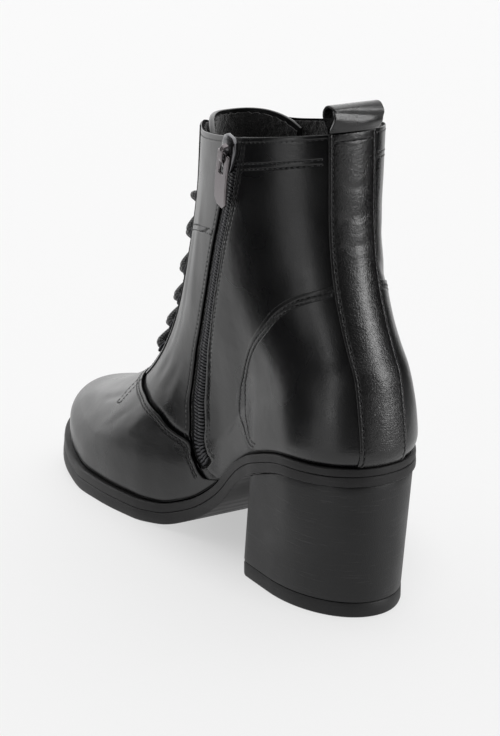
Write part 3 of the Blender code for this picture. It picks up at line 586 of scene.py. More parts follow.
def leather(name, dark, light, grain, depth, wrinkle, rough):
    """Black box calf: dyed through, plated smooth and waxed. grain is the size of its cells and depth their
    relief, wrinkle the relief of the fine folds, all in millimetres. The heights are cells with shallow
    grooves between them, stretched fine folds, broad waves and the furrow of the nearest seam. A cut edge is
    matt and near black, its own colour. The foot of a furrow is matt and takes the same near black as
    painted shade."""
    made, tree, shader = finish(name, IOR=1.5, Coat_Weight=COAT_BARE, Coat_Roughness=0.16, Coat_IOR=1.4)
    place = node(tree, PLACE).outputs["Object"]
    # a noise's scale is cells per metre: the cells drift each 3.8 mm (260), fine folds come
    # each 3.1 mm (320), broad waves each 17 mm (60) and patches of gloss each 33 mm (30)
    drift = node(tree, NOISE, {"Vector": place, "Scale": 260.0, "Detail": 2.0}).outputs["Color"]
    drift = node(tree, "ShaderNodeVectorMath", (drift, (0.0011, 0.0011, 0.0011)), operation="MULTIPLY")
    warped = node(tree, "ShaderNodeVectorMath", (place, drift.outputs[0]), operation="ADD").outputs[0]
    cells = node(tree, CELLS, {"Vector": warped, "Scale": 1000 / grain}, feature="DISTANCE_TO_EDGE")
    pores = node(tree, RANGE, (cells.outputs["Distance"], 0.0, 0.22, -depth, 0.0), **EASED).outputs[0]
    stretch = node(tree, "ShaderNodeMapping", {"Vector": place, "Scale": (1.0, 1.0, 2.6)}).outputs[0]
    folds = node(tree, NOISE, {"Vector": stretch, "Scale": 320.0, "Detail": 4.0, "Roughness": 0.6})
    folds = node(tree, RANGE, (folds.outputs["Fac"], 0.3, 0.7, -wrinkle / 2, wrinkle / 2)).outputs[0]
    broad = node(tree, NOISE, {"Vector": place, "Scale": 60.0, "Detail": 2.0}).outputs["Fac"]
    waves = node(tree, RANGE, (broad, 0.3, 0.7, -0.06, 0.06)).outputs[0]
    away = node(tree, "ShaderNodeAttribute", attribute_name="seam").outputs["Fac"]
    furrow = node(tree, RANGE, (away, 0.1, 0.9, -0.22, 0.0), **EASED).outputs[0]
    patch = node(tree, NOISE, {"Vector": place, "Scale": 30.0, "Detail": 2.0}).outputs["Fac"]
    gloss = node(tree, RANGE, (patch, 0.35, 0.68, rough - 0.03, rough + 0.05), **EASED).outputs[0]
    raw = node(tree, "ShaderNodeAttribute", attribute_name="cut").outputs["Fac"]
    # painted shade: within about 0.6 mm of a seam or of the crease over the sole the leather turns matt and
    # darkens
    seam_matt_and_painted_shade = node(tree, RANGE, (away, 0.15, 0.6, 0.8, 0.0), **EASED).outputs[0]
    raw = node(tree, MATH, (raw, seam_matt_and_painted_shade), operation="MAXIMUM").outputs[0]
    gloss = node(tree, MIX, {"Factor": raw, "A": gloss, "B": MATT}).outputs[0]
    for socket, bare, cut in (("Specular IOR Level", GLOSS_BARE, 0.05), ("Coat Weight", COAT_BARE, 0.0)):
        fades = node(tree, RANGE, (raw, 0.0, 1.0, bare, cut), **EASED).outputs[0]
        tree.links.new(fades, shader.inputs[socket])
    shade = node(tree, RANGE, (patch, 0.3, 0.7, 0.0, 1.0), **EASED).outputs[0]
    colour = node(tree, MIX, {"Factor": shade, "A": linear(dark), "B": linear(light)}, data_type="RGBA")
    colour = colour.outputs["Result"]
    # near black: the cut edge's own colour, and painted shade at the foot of each furrow
    colour = node(tree, MIX, {"Factor": raw, "A": colour, "B": linear("#050505")}, data_type="RGBA")
    surface(tree, shader, colour.outputs["Result"], gloss, (pores, folds, waves, furrow))
    return made


# plated box calf: black, tight grain, with a clear but soft reflection
calf = leather("black_box_calf", "#08080a", "#0f0f10", 0.8, 0.015, 0.02, 0.30)
# softer calf of the strips: its fine folds break the reflection up
strip_calf = leather("wrinkled_black_calf", "#0a090a", "#121112", 1.0, 0.03, 0.085, 0.28)
print("leathers:", calf.name, strip_calf.name)

# %% [markdown]
# The rest of the finishes: moulded rubber, the heel's painted plastic, brushed fleece, the
# zip's woven tape, nylon teeth, plated zinc and waxed thread.

# %% Moulded, woven and plated
RIB_PITCH = 0.005


def moulded(name, colour, spot, rough, grit, scuff, tread=0.0):
    """Moulded rubber or plastic: an even spark-eroded texture of grit millimetres, with
    long faint scuffs along the boot of scuff millimetres depth. Faces that look down have
    cross ribs of tread millimetres, a sine with a rib each 5 mm, and no scuffs."""
    made, tree, shader = finish(name, IOR=1.5, Specular_IOR_Level=0.35)
    place = node(tree, PLACE).outputs["Object"]
    # scuffs are 17 mm long (60 in a metre) and 1.1 mm apart (900), gloss changes each 22 mm
    fine = node(tree, NOISE, {"Vector": place, "Scale": 1000 / grit, "Detail": 2.0}).outputs["Fac"]
    fine = node(tree, RANGE, (fine, 0.3, 0.7, -0.02, 0.02)).outputs[0]
    stretch = node(tree, "ShaderNodeMapping", {"Vector": place, "Scale": (60.0, 60.0, 900.0)}).outputs[0]
    lines = node(tree, NOISE, {"Vector": stretch, "Scale": 1.0, "Detail": 3.0, "Roughness": 0.7})
    lines = lines.outputs["Fac"]
    grooves = node(tree, RANGE, (lines, 0.58, 0.72, 0.0, -scuff), **EASED).outputs[0]
    looks = node(tree, PLACE).outputs["Normal"]
    looks = node(tree, "ShaderNodeSeparateXYZ", {"Vector": looks}).outputs["Z"]
    under = node(tree, RANGE, (looks, -0.95, -0.7, 1.0, 0.0), **EASED).outputs[0]
    along = node(tree, "ShaderNodeSeparateXYZ", {"Vector": place}).outputs["X"]
    ribs = node(tree, MATH, (along, 2 * math.pi / RIB_PITCH), operation="MULTIPLY").outputs[0]
    ribs = node(tree, MATH, (ribs,), operation="SINE").outputs[0]
    ribs = node(tree, RANGE, (ribs, -0.4, 0.4, -tread / 2, tread / 2), **EASED).outputs[0]
    lines_or_ribs = node(tree, MIX, {"Factor": under, "A": grooves, "B": ribs}).outputs[0]
    patch = node(tree, NOISE, {"Vector": place, "Scale": 45.0, "Detail": 4.0}).outputs["Fac"]
    gloss = node(tree, RANGE, (patch, 0.3, 0.7, rough - 0.05, rough + 0.07), **EASED).outputs[0]
    worn = node(tree, RANGE, (lines, 0.55, 0.75, 0.0, 0.8), **EASED).outputs[0]
    colour = node(tree, MIX, {"Factor": worn, "A": linear(colour), "B": linear(spot)}, data_type="RGBA")
    surface(tree, shader, colour.outputs["Result"], gloss, (fine, lines_or_ribs))
    return made


def cloth(name, dark, light, thread, depth, sheen):
    """Cloth whose pile or yarn is thread millimetres across: a cell pattern lifts the yarn, a noise tufts
    it, and sheen lights the fibres at a low angle. The same noise paints the colour: painted shade in the
    low gaps between tufts, and a painted highlight on the high tips. The tufts are 2.4 mm (420 in a metre),
    coarser than real ones, because those would be too fine to show."""
    made, tree, shader = finish(name, Sheen_Weight=sheen, Sheen_Roughness=0.5, IOR=1.45)
    place = node(tree, PLACE).outputs["Object"]
    yarn = node(tree, CELLS, {"Vector": place, "Scale": 1000 / thread}).outputs["Distance"]
    lift = node(tree, RANGE, (yarn, 0.0, 0.8, depth, 0.0)).outputs[0]
    tufts = node(tree, NOISE, {"Vector": place, "Scale": 420.0, "Detail": 4.0}).outputs["Fac"]
    tuft = node(tree, RANGE, (tufts, 0.3, 0.7, -depth, depth)).outputs[0]
    # painted shade and highlight: the colour follows the tufts' height, dark low and pale high
    shade = node(tree, RANGE, (tufts, 0.35, 0.65, 0.0, 1.0), **EASED).outputs[0]
    colour = node(tree, MIX, {"Factor": shade, "A": linear(dark), "B": linear(light)}, data_type="RGBA")
    gloss = node(tree, RANGE, (tufts, 0.3, 0.7, 0.8, 0.95), **EASED).outputs[0]
    surface(tree, shader, colour.outputs["Result"], gloss, (lift, tuft))
    return made


def plated(name, colour, rough):
    """Zinc or brass, tumbled and plated: a metal with fine wear that dulls it in spots of
    1.4 mm (700 in a metre)."""
    made, tree, shader = finish(name, Metallic=1.0)
    place = node(tree, PLACE).outputs["Object"]
    wear = node(tree, NOISE, {"Vector": place, "Scale": 700.0, "Detail": 5.0}).outputs["Fac"]
    gloss = node(tree, RANGE, (wear, 0.35, 0.7, rough - 0.02, rough + 0.04), **EASED).outputs[0]
    tint = node(tree, RANGE, (wear, 0.3, 0.7, 0.93, 1.0), **EASED).outputs[0]
    colour = node(tree, MIX, {"Factor": tint, "A": linear("#2a2a2c"), "B": linear(colour)}, data_type="RGBA")
    height = node(tree, RANGE, (wear, 0.3, 0.7, -0.0003, 0.0003)).outputs[0]
    surface(tree, shader, colour.outputs["Result"], gloss, (height,))
    return made


# %% Rubber and plastic
# rubber of the sole: a dull black with a faint bloom, ribbed underneath
sole_rubber = moulded("moulded_sole_rubber", "#1a191a", "#2a282a", 0.5, 0.5, 0.03, 0.8)
# ABS of the heel: a little glossier than rubber, with a soft broad highlight
heel_plastic = moulded("moulded_heel_plastic", "#1a1a1b", "#2c2b2c", 0.42, 0.4, 0.05)
# harder rubber of the lift: the most matt of the three
lift_rubber = moulded("moulded_lift_rubber", "#181819", "#232324", 0.55, 0.5, 0.02, 0.8)
# nylon of the teeth: grey, with a small bright glint on each tooth
nylon = moulded("moulded_nylon_teeth", "#48484b", "#58585c", 0.3, 0.6, 0.0)
print("moulded:", [m.name for m in (sole_rubber, heel_plastic, lift_rubber, nylon)])

# %% Cloth and thread
# fleece raised from a knit: tufts, with painted shade in the gaps and painted highlights on the tips
fleece = cloth("brushed_fleece_lining", "#0a0909", "#232121", 0.7, 0.28, 0.5)
# short nap of the footbed: flat and even
footbed = cloth("napped_insole_cover", "#121112", "#222022", 0.5, 0.08, 0.3)
# plain weave of the tape: nearly as black as the shade it lies in
tape_cloth = cloth("woven_zip_tape", "#0b0b0c", "#161617", 0.6, 0.06, 0.2)
# twisted polyester thread, waxed: a dull line a little paler than the leather
thread_wax = cloth("waxed_polyester_thread", "#0b0b0c", "#242426", 0.25, 0.03, 0.3)
print("cloths:", [m.name for m in (fleece, footbed, tape_cloth, thread_wax)])

# %% Metal
# the slider's grey plating mirrors the room, darkened
gunmetal = plated("gunmetal_plated_zinc", "#6e6e70", 0.2)
# the pull's plating is a shade warmer and brighter
nickel = plated("black_nickel_plated_zinc", "#7e797b", 0.2)
# the eyelets' blackened brass gives a thin glint round each hole
eyelet_metal = plated("blackened_brass", "#3c3c40", 0.3)
print("finishes:", len(bpy.data.materials))

# %% [markdown]
# ## Camera, floor and light
# The photograph looks down at the boot from behind its inner side, with a long lens. The floor is a plain
# pale sweep. Black leather shows little colour of its own: what we see is the room in it. So the lamps are
# large and soft, the floor glows, with a painted shadow where it glows less under the arch, and black cards
# stand at both sides, as photographers place them to keep black leather black. The cards and the three boxes
# act on reflections alone.

# %% Camera, floor and light
YAW, PITCH = -0.521, 0.3249  # radians; the lens looks down and to the outer side
FOCAL, PICTURE_HEIGHT, SENSOR = 2315.94, 736, 36.0  # pixels, pixels, millimetres
camera = bpy.data.objects.new("camera", bpy.data.cameras.new("camera"))
camera.data.sensor_width, camera.data.lens = SENSOR, FOCAL * SENSOR / PICTURE_HEIGHT
camera.data.clip_start, camera.data.clip_end = 0.05, 60
camera.location = Vector((-0.7108, 0.4687, 0.3923)) + Vector(SHIFT)
ahead = Vector((math.cos(PITCH) * math.cos(YAW), math.cos(PITCH) * math.sin(YAW), -math.sin(PITCH)))
camera.rotation_euler = ahead.to_track_quat("-Z", "Y").to_euler()
bpy.context.collection.objects.link(camera)
bpy.context.scene.camera = camera
bpy.context.scene.view_settings.view_transform = "Standard"

sweep, tree, shader = finish("glowing_floor_with_painted_shadow", Roughness=0.9)
shader.inputs["Base Color"].default_value = linear("#757575")
shader.inputs["Emission Color"].default_value = (1.0, 1.0, 1.0, 1.0)
place = node(tree, "ShaderNodeTexCoord").outputs["Object"]
# painted shadow: the floor's glow falls from 0.705 to 0.50 in an ellipse under the arch
ellipse = {"Vector": place, "Location": (0.15, 0.2, 0.0), "Scale": (12.0, 20.0, 1.0)}
painted_shadow_pool = node(tree, "ShaderNodeMapping", ellipse)
painted_shadow_pool = node(tree, "ShaderNodeVectorMath", (painted_shadow_pool.outputs[0],), operation="LENGTH").outputs["Value"]
painted_shadow_pool = node(tree, RANGE, (painted_shadow_pool, 0.2, 1.35, 0.50, 0.705), **EASED).outputs[0]
tree.links.new(painted_shadow_pool, shader.inputs["Emission Strength"])
u, v = np.meshgrid(np.linspace(-8, 8, 3), np.linspace(-8, 8, 3))
points = np.stack([u, v, np.zeros_like(u)], axis=-1)
floor = make_mesh("floor", points, quads(np.arange(9).reshape(3, 3)), sweep)
floor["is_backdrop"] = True
print("camera lens:", round(camera.data.lens, 2), "mm")

# %% World and lamps
world = bpy.data.worlds.new("studio")
bpy.context.scene.world = world
world.use_nodes = True
tree = world.node_tree
way = node(tree, "ShaderNodeTexCoord").outputs["Generated"]
front = (math.cos(YAW), math.sin(YAW), 0.0)
facing = node(tree, "ShaderNodeVectorMath", (way, front), operation="DOT_PRODUCT").outputs["Value"]
glow = node(tree, RANGE, (facing, -0.3, 0.85, 0.12, 1.7), **EASED).outputs[0]
tree.links.new(glow, tree.nodes["Background"].inputs["Strength"])
tree.nodes["Background"].inputs["Color"].default_value = (1.0, 1.0, 1.0, 1.0)


def lamp(name, place, aim, width, height, power):
    """Rectangular soft box at a place, turned to a point; metres, and power in watts."""
    light = bpy.data.lights.new(name, "AREA")
    light.shape, light.size, light.size_y, light.energy = "RECTANGLE", width, height, power
    obj = bpy.data.objects.new(name, light)
    obj.location = place
    obj.rotation_euler = (Vector(aim) - Vector(place)).to_track_quat("-Z", "Y").to_euler()
    bpy.context.collection.objects.link(obj)
    return obj


sun = bpy.data.objects.new("overhead", bpy.data.lights.new("overhead", "SUN"))
sun.data.energy, sun.data.angle = 1.2, math.radians(70)
sun.rotation_euler = (math.radians(8), math.radians(-8), 0)
bpy.context.collection.objects.link(sun)
back_box = lamp("back_box", (-1.25, -0.95, 0.72), (0, 0, 0.1), 0.55, 1.3, 21)
left_box = lamp("left_box", (1.0, 1.2, 0.75), (0, 0, 0.1), 0.7, 1.1, 8)
side_box = lamp("side_box", (-0.47, 1.10, 0.30), (0, 0, 0.12), 0.25, 0.6, 1.2)
for box in (back_box, left_box, side_box):
    box.visible_diffuse = False
print("lamps:", [box.name for box in (sun, back_box, left_box, side_box)])

# %% Black cards
# for each card, bearings in degrees from +X and how far off it stands there in metres
CARD_HEIGHT, CARD_POINTS = 0.5, 30
CARDS = (
    ((44, 0.23), (62, 0.17), (78, 0.155), (98, 0.30)),
    ((128, 0.40), (150, 0.34), (176, 0.32)),
    ((-140, 0.36), (-75, 0.34)),
)
walls = []
for number, table in enumerate(CARDS):
    bearing, reach = np.array(table).T
    at = np.linspace(bearing[0], bearing[-1], CARD_POINTS)
    turn, reach = np.radians(at), np.interp(at, bearing, reach)
    foot = np.stack([reach * np.cos(turn) - 0.02, reach * np.sin(turn), 0 * turn], axis=1)
    index = np.arange(2 * CARD_POINTS).reshape(2, CARD_POINTS) + 2 * CARD_POINTS * number
    walls.append((np.concatenate([foot, foot + np.array([0, 0, CARD_HEIGHT])]), quads(index)))
felt, tree, shader = finish("black_felt_card", Roughness=1.0, Specular_IOR_Level=0.0)
shader.inputs["Base Color"].default_value = linear("#1c1c1c")
card = make_mesh("black_cards", *(np.concatenate(part) for part in zip(*walls)), felt)
card.visible_camera = card.visible_diffuse = False
card.visible_shadow = card.visible_transmission = False
card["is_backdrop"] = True
print("cards:", len(CARDS))

# %% [markdown]
# ## Lines on the upper
# The lines of the pattern come next: the zip, the throat, the vamp's edge and the counter's
# edge. Each is a table of places on the last, as in the part's source, so that the leather
# we cut here ends where the solids end.

# %% Lines of the pattern
# widths in metres, bases as levels; every table starts with its place, a level or a turn
THROAT_WIDTH, THROAT_BASE, ZIP_SLOT, ZIP_BASE = 0.012, 0.41, 0.0112, 0.095
STAY_WIDTH, EYESTAY_WIDTH = 0.0207, 0.017
ZIP_SECTIONS = np.array(
    [
        (0.08, 0.221),
        (0.20, 0.245),
        (0.34, 0.269),
        (0.43, 0.281),
        (0.53, 0.284),
        (0.62, 0.276),
        (0.70, 0.263),
        (0.78, 0.248),
        (0.86, 0.232),
        (1.00, 0.210),
    ]
)
VAMP_SECTIONS = np.array(
    [
        (0.222, 0.050),
        (0.240, 0.140),
        (0.258, 0.230),
        (0.288, 0.285),
        (0.312, 0.335),
        (0.357, 0.380),
        (0.417, 0.395),
        (0.500, 0.400),
    ]
)
COUNTER_SECTIONS = np.array(
    [
        (0.030, 0.015, 0.625),
        (0.098, 0.015, 0.605),
        (0.133, 0.015, 0.575),
        (0.165, 0.020, 0.525),
        (0.185, 0.115, 0.490),
        (0.200, 0.220, 0.450),
        (0.212, 0.340, 0.385),
    ]
)


def zip_line(level):
    """u of the middle of the zip at a level."""
    return column(ZIP_SECTIONS, 1, np.clip(level, 0.0, 1))


def opening(level, width, base):
    """Half width of an opening: nothing below its base, full 2 mm above it."""
    return width / 2 * rounding(level - base, 0.014)


# %% [markdown]
# ## The quarters
# The quarters are the leather of the shaft. The zip and the throat part them into a front
# strip and a large rear piece, so there are two grids. Below the openings their edges meet.

# %% Quarters
def collar(u, level):
    """Level raised near the collar beside the throat: a bell round u = 0.41 and 0.59 that
    lifts the top edge 2 mm, faded in over the last fifth."""
    turn = 0.5 - np.abs(u % 1.0 - 0.5)
    share = np.clip((level - 0.8) / 0.2, 0, 1)
    return level + 0.013 * np.exp(-(((turn - 0.41) / 0.045) ** 2)) * share**2


def quarter_grids(rows, front_cols, rear_cols):
    """u and level of the two pieces: rows of level, and u from one opening to the next."""
    level = np.linspace(0.0, 1.0, rows)[:, None]
    zip_half = opening(level, ZIP_SLOT, ZIP_BASE - 0.01)
    throat_half = opening(level, THROAT_WIDTH, THROAT_BASE)
    zip_front = around_from(zip_line(level), level, zip_half)
    zip_rear = around_from(zip_line(level), level, -zip_half) + 1
    throat_inner = around_from(0.5, level, -throat_half)
    throat_outer = around_from(0.5, level, throat_half)
    front = zip_front + (throat_inner - zip_front) * np.linspace(0, 1, front_cols)
    rear = throat_outer + (zip_rear - throat_outer) * np.linspace(0, 1, rear_cols)
    return [(u, collar(u, level)) for u in (front, rear)]


def joined(parts):
    """Points and faces of several parts, numbered on."""
    counts = np.cumsum([0] + [len(points) for points, _ in parts])
    points = np.concatenate([points for points, _ in parts])
    return points, np.concatenate([faces + n for (_, faces), n in zip(parts, counts)])


def on_upper(name, grids, top, thick, finish, rim=0.0004, raw=1.0):
    """Leather over one or more grids of u and level, its outside top metres over the upper
    and following the creases, with the distance to the nearest seam at each point. Its foot
    turns in by 0.8 mm, which falls with the square of the distance from the sole. raw is
    how plainly the cut edges show the undyed, matt cut."""
    parts, cut = [], []
    for u, level in grids:
        turned_in = np.clip(1 - level / 0.03, 0, 1) ** 2
        height = (top(u, level) if callable(top) else top) - 0.0008 * turned_in
        points = upper_surface(u, level, height + relief(u, level))
        parts.append(sheet(points, thick, normals(u, level), rim))
        cut.append(cut_edge(*u.shape))
    points, faces = joined(parts)
    cut = np.concatenate(cut) * (raw(points) if callable(raw) else raw)
    away = np.full(len(points), 1000 * SEAM_REACH)
    away[cut < 0.5] = seam_distance(points[cut < 0.5])
    obj = make_mesh(name, points, faces, finish, attributes={"seam": away, "cut": cut})
    return obj


# %% Stitch rows of the quarters
# beside the zip, round the collar and across the front strip
level = np.linspace(0.10, 0.985, 60)
for away in (-(ZIP_SLOT / 2 + 0.0012), -(ZIP_SLOT / 2 + 0.0030), ZIP_SLOT / 2 + 0.0018):
    seam(around_from(zip_line(level), level, away), level, 0.0)
around_back = np.linspace(0.215, -0.425, 120)
seam(around_back, 0.991, 0.0)
for height in (0.945, 0.933):
    seam(np.linspace(0.196, 0.06, 40), height, 0.0)
    seam(np.linspace(-0.06, -0.40, 80), height, 0.0)
across_strip = np.linspace(0.262, 0.412, 30)
for height in (0.806, 0.796):
    arch = np.sin((across_strip - 0.262) / 0.150 * math.pi) ** 0.6
    seam(across_strip, height + 0.012 * arch, 0.0)
facing = np.linspace(0.226, 0.405, 40)
seam(facing, collar(facing, 0.990), 0.0)
print("rows:", len(SEAMS))

# %% Quarters and lining


def quarter_top(u, level):
    """Height of the quarters' outside: pressed in 0.8 mm under the vamp and just above its
    edge, by a smooth step along the level."""
    turn = 0.5 - np.abs(u % 1.0 - 0.5)
    edge = column(VAMP_SECTIONS, 1, np.maximum(turn, 0.222))
    share = np.clip((level - edge - 0.006) / 0.016, 0, 1)
    side = np.clip((turn - 0.218) / 0.008, 0, 1)
    return -0.0008 * (1 - share * share * (3 - 2 * share)) * side


def throat_cut(points):
    """How plainly a cut edge shows: a fifth within 10 mm of the throat's middle line, where
    the edge is inked, and fully elsewhere."""
    middle = upper_surface(np.full(80, 0.5), np.linspace(0.38, 1.0, 80))
    away = np.sqrt(((points[:, None] - middle[None]) ** 2).sum(axis=2).min(axis=1))
    return np.where(away < 0.010, 0.2, 1.0)


grids = quarter_grids(150, 60, 240)
quarters = on_upper("quarters", grids, quarter_top, 0.0013, calf, raw=throat_cut)
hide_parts("upper")
lining_parts = []
for u, level in quarter_grids(60, 30, 110):
    inside = upper_surface(u, level * 0.997, -0.00135 + quarter_top(u, level) + relief(u, level))
    lining_parts.append(sheet(inside, 0.0009, normals(u, level), 0.0002))
points, faces = joined(lining_parts)
lining = make_mesh("shaft_lining", points, faces, fleece)
print("quarters:", len(quarters.data.polygons), "faces; lining:", len(lining.data.polygons))

# %% [markdown]
# ## Overlays
# Vamp, heel counters, backstay and eyestays are cut from leather and sewn on top. Their cut
# edges show as thin steps. First the vamp, which covers the toes. Its edge is a row of the
# table, and its grid climbs from the sole to that edge. Two rows of stitches follow it, and
# a loop of stitches holds the tab at the foot of the throat on either side.

# %% Vamp
u = np.linspace(0.209, 0.791, 240)
turn = 0.5 - np.abs(u - 0.5)
foot_edge = 0.008 + 0.042 * (turn - 0.209) / 0.013
edge = np.where(turn > 0.222, column(VAMP_SECTIONS, 1, np.maximum(turn, 0.222)), foot_edge)
rise = np.linspace(0, 1, 96)[:, None]
VAMP_TOP = 0.0008
for away in (0.009, 0.018):
    path = np.linspace(0.226 + away / 5, 0.774 - away / 5, 150)
    row = column(VAMP_SECTIONS, 1, 0.5 - np.abs(path - 0.5)) - away
    row = row - 0.03 * np.clip(0.3 - path, 0, 1) - 0.03 * np.clip(path - 0.7, 0, 1)
    seam(path, row, VAMP_TOP)
for side in (-1, 1):
    turn = np.linspace(0, math.pi, 9)
    out_u = np.concatenate([[0.413], 0.379 - 0.005 * np.sin(turn), [0.402]])
    out_level = np.concatenate([[0.380], 0.300 - 0.013 * np.cos(turn), [0.397]])
    seam(0.5 + side * (0.5 - out_u), out_level, VAMP_TOP)
grid = (u + 0 * rise, 0.003 + rise * (edge - 0.003))
vamp = on_upper("vamp_leather", [grid], VAMP_TOP, 0.0015, calf, 0.0003)
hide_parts("vamp")
print("vamp:", len(vamp.data.polygons), "faces")

# %% [markdown]
# The counters stiffen the heel on either side. Each is one grid between two curves, and the
# outer one is the inner one with its turn reversed. Two rows of stitches run along the edge,
# moved in from it towards the middle of the piece.

# %% Heel counters
COUNTER_TOP = 0.0004
# turn and level that the rows are moved towards, and metres in one turn and in one level
COUNTER_MIDDLE, COUNTER_SCALE = np.array([0.11, 0.33]), np.array([0.20, 0.14])
share = np.linspace(0, 1, 96)
u = 0.03 + share * (COUNTER_SECTIONS[-1, 0] - 0.03)
bottom, top = column(COUNTER_SECTIONS, 1, u), column(COUNTER_SECTIONS, 2, u)
rise = np.linspace(0, 1, 90)[:, None]
level = bottom + rise * (top - bottom)
level = np.where(share < 0.7, np.maximum(level - 0.012 * (1 - rise), 0.003), level)
start = around_from(0.0, level[:, :1], STAY_WIDTH / 2 + 0.0002)
grid = start + share * (COUNTER_SECTIONS[-1, 0] - start)
climb, back = np.linspace(0.164, 0.2105, 60), np.linspace(0.2105, 0.05, 90)
path = np.concatenate(
    [
        np.stack([climb, column(COUNTER_SECTIONS, 1, climb)], axis=1),
        np.stack([back, column(COUNTER_SECTIONS, 2, back)], axis=1),
    ]
)
for inset in (0.0012, 0.0030):
    away = (COUNTER_MIDDLE - path) * COUNTER_SCALE
    away /= np.linalg.norm(away, axis=1, keepdims=True)
    line = path + inset * away / COUNTER_SCALE
    for side in (1, -1):
        seam(side * line[:, 0], line[:, 1], COUNTER_TOP)
for side, name in ((1, "inner"), (-1, "outer")):
    grids = [(side * grid, level)]
    piece = on_upper(f"counter_leather_{name}", grids, COUNTER_TOP, 0.0004, calf, 0.0002)
    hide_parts(f"counter_{name}")
print("counters done, seams so far:", len(SEAMS))

# %% [markdown]
# The backstay covers the back seam, from the sole to the collar. It is a plain strip, in a
# softer calf whose fine folds break up the light.

# %% Backstay
STAY_TOP = 0.0012
level = np.linspace(0.003, 1.0, 190)
for side in (-1, 1):
    seam(around_from(0.0, level, side * (STAY_WIDTH / 2 - 0.0013)), level, STAY_TOP)
foot_row = np.linspace(-0.0088, 0.0080, 12)
seam(around_from(0.0, 0.984, foot_row), 0.984 + 0 * foot_row, STAY_TOP)
strip = around_from(0.0, level[:, None], STAY_WIDTH * np.linspace(-0.5, 0.5, 34))
grids = [(strip, level[:, None] + 0 * strip)]
backstay = on_upper("backstay_leather", grids, STAY_TOP, 0.0012, strip_calf)
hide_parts("backstay")
print("backstay:", len(backstay.data.polygons), "faces")

# %% [markdown]
# The eyestays carry the eyelets on either side of the throat. Their edges are inked, so raw
# leather hardly shows, and three rows of stitches hold each of them.

# %% Eyestays
STRIP_TOP = 0.0006
level = np.linspace(THROAT_BASE + 0.004, 0.998, 90)
reach = THROAT_WIDTH / 2 + 0.0004 + EYESTAY_WIDTH * np.linspace(0, 1, 16)
for side, name in ((-1, "inner"), (1, "outer")):
    for away in (0.0018, EYESTAY_WIDTH - 0.0018, EYESTAY_WIDTH - 0.0038):
        seam(around_from(0.5, level, side * (THROAT_WIDTH / 2 + away)), level, STRIP_TOP)
    grid = around_from(0.5, level[:, None], side * reach)
    grids = [(grid, collar(grid, level[:, None]))]
    piece = on_upper(f"eyestay_leather_{name}", grids, STRIP_TOP, 0.0006, calf, 0.0003, raw=0.2)
    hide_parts(f"eyestay_{name}")
print("overlays done, seams so far:", len(SEAMS))

# %% [markdown]
# ## Pull loop
# A strip of leather folded over the collar, to pull the boot on by. Its middle line is a
# table of heights over the collar and distances outside it, carried across the width of the
# backstay. Where it stands free it is flat across, and two soft dents make it hand-made.

# %% Pull loop
LOOP_THICK, LOOP_WIDTH = 0.0012, 0.0215
# height over the collar and distance outside it, in metres
LOOP_PATH = np.array(
    [
        (0.0014, 0.0014),
        (0.0045, 0.0024),
        (0.0078, 0.0026),
        (0.0100, 0.0012),
        (0.0108, -0.0016),
        (0.0101, -0.0044),
        (0.0079, -0.0062),
        (0.0048, -0.0063),
        (0.0008, -0.0052),
        (-0.0030, -0.0043),
        (-0.0080, -0.0040),
        (-0.0140, -0.0040),
    ]
)
at = np.linspace(0, len(LOOP_PATH) - 1, 80)
up, out = (smooth(range(len(LOOP_PATH)), LOOP_PATH[:, n], at) for n in (0, 1))
slope = np.stack([np.gradient(up), np.gradient(out)])
slope /= np.linalg.norm(slope, axis=0)
across = np.linspace(-0.5, 0.5, 26)
across = LOOP_WIDTH * across - 0.0008
u = around_from(0.0, 1.0, across)
rise = np.linalg.norm(upper_surface(0, 1.0) - upper_surface(0, 0.98)) / 0.02
dent = 0.0004 * np.sin(at[:, None] * 2.3 + 110 * across) * np.exp(-(((at[:, None] - 3.2) / 2.2) ** 2))
dent = dent - 0.0007 * np.exp(-(((at[:, None] - 1.9 - 45 * across) / 0.45) ** 2))
level = 1 + (up - 0.5 * LOOP_THICK * slope[1])[:, None] / rise + 0 * across
far = (out + 0.5 * LOOP_THICK * slope[0])[:, None] + dent
over = slope[0][:, None, None] * normals(u, 1.0) + np.array([0, 0, -1.0]) * slope[1][:, None, None]
curved = upper_surface(u + 0 * level, level, far)
sideways = upper_surface(0.01, 1.0) - upper_surface(-0.01, 1.0)
sideways /= np.linalg.norm(sideways)
flat = upper_surface(0 * level, level, far) + across[:, None] * sideways
lifted = np.clip((up - 0.001) / 0.006, 0, 1)[:, None, None]
lifted = lifted * lifted * (3 - 2 * lifted)
points, faces = sheet(curved + (flat - curved) * lifted, LOOP_THICK, over, 0.0003)
no_seam = {"seam": np.full(len(points), 1000 * SEAM_REACH)}
loop = make_mesh("pull_loop_leather", points, faces, strip_calf, attributes=no_seam)
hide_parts("pull_loop")
print("pull loop:", len(faces), "faces")

# %% [markdown]
# ## Tongue
# The tongue lies behind the throat and stands over the collar. It is leather outside and
# brushed fleece inside, so it is two sheets.

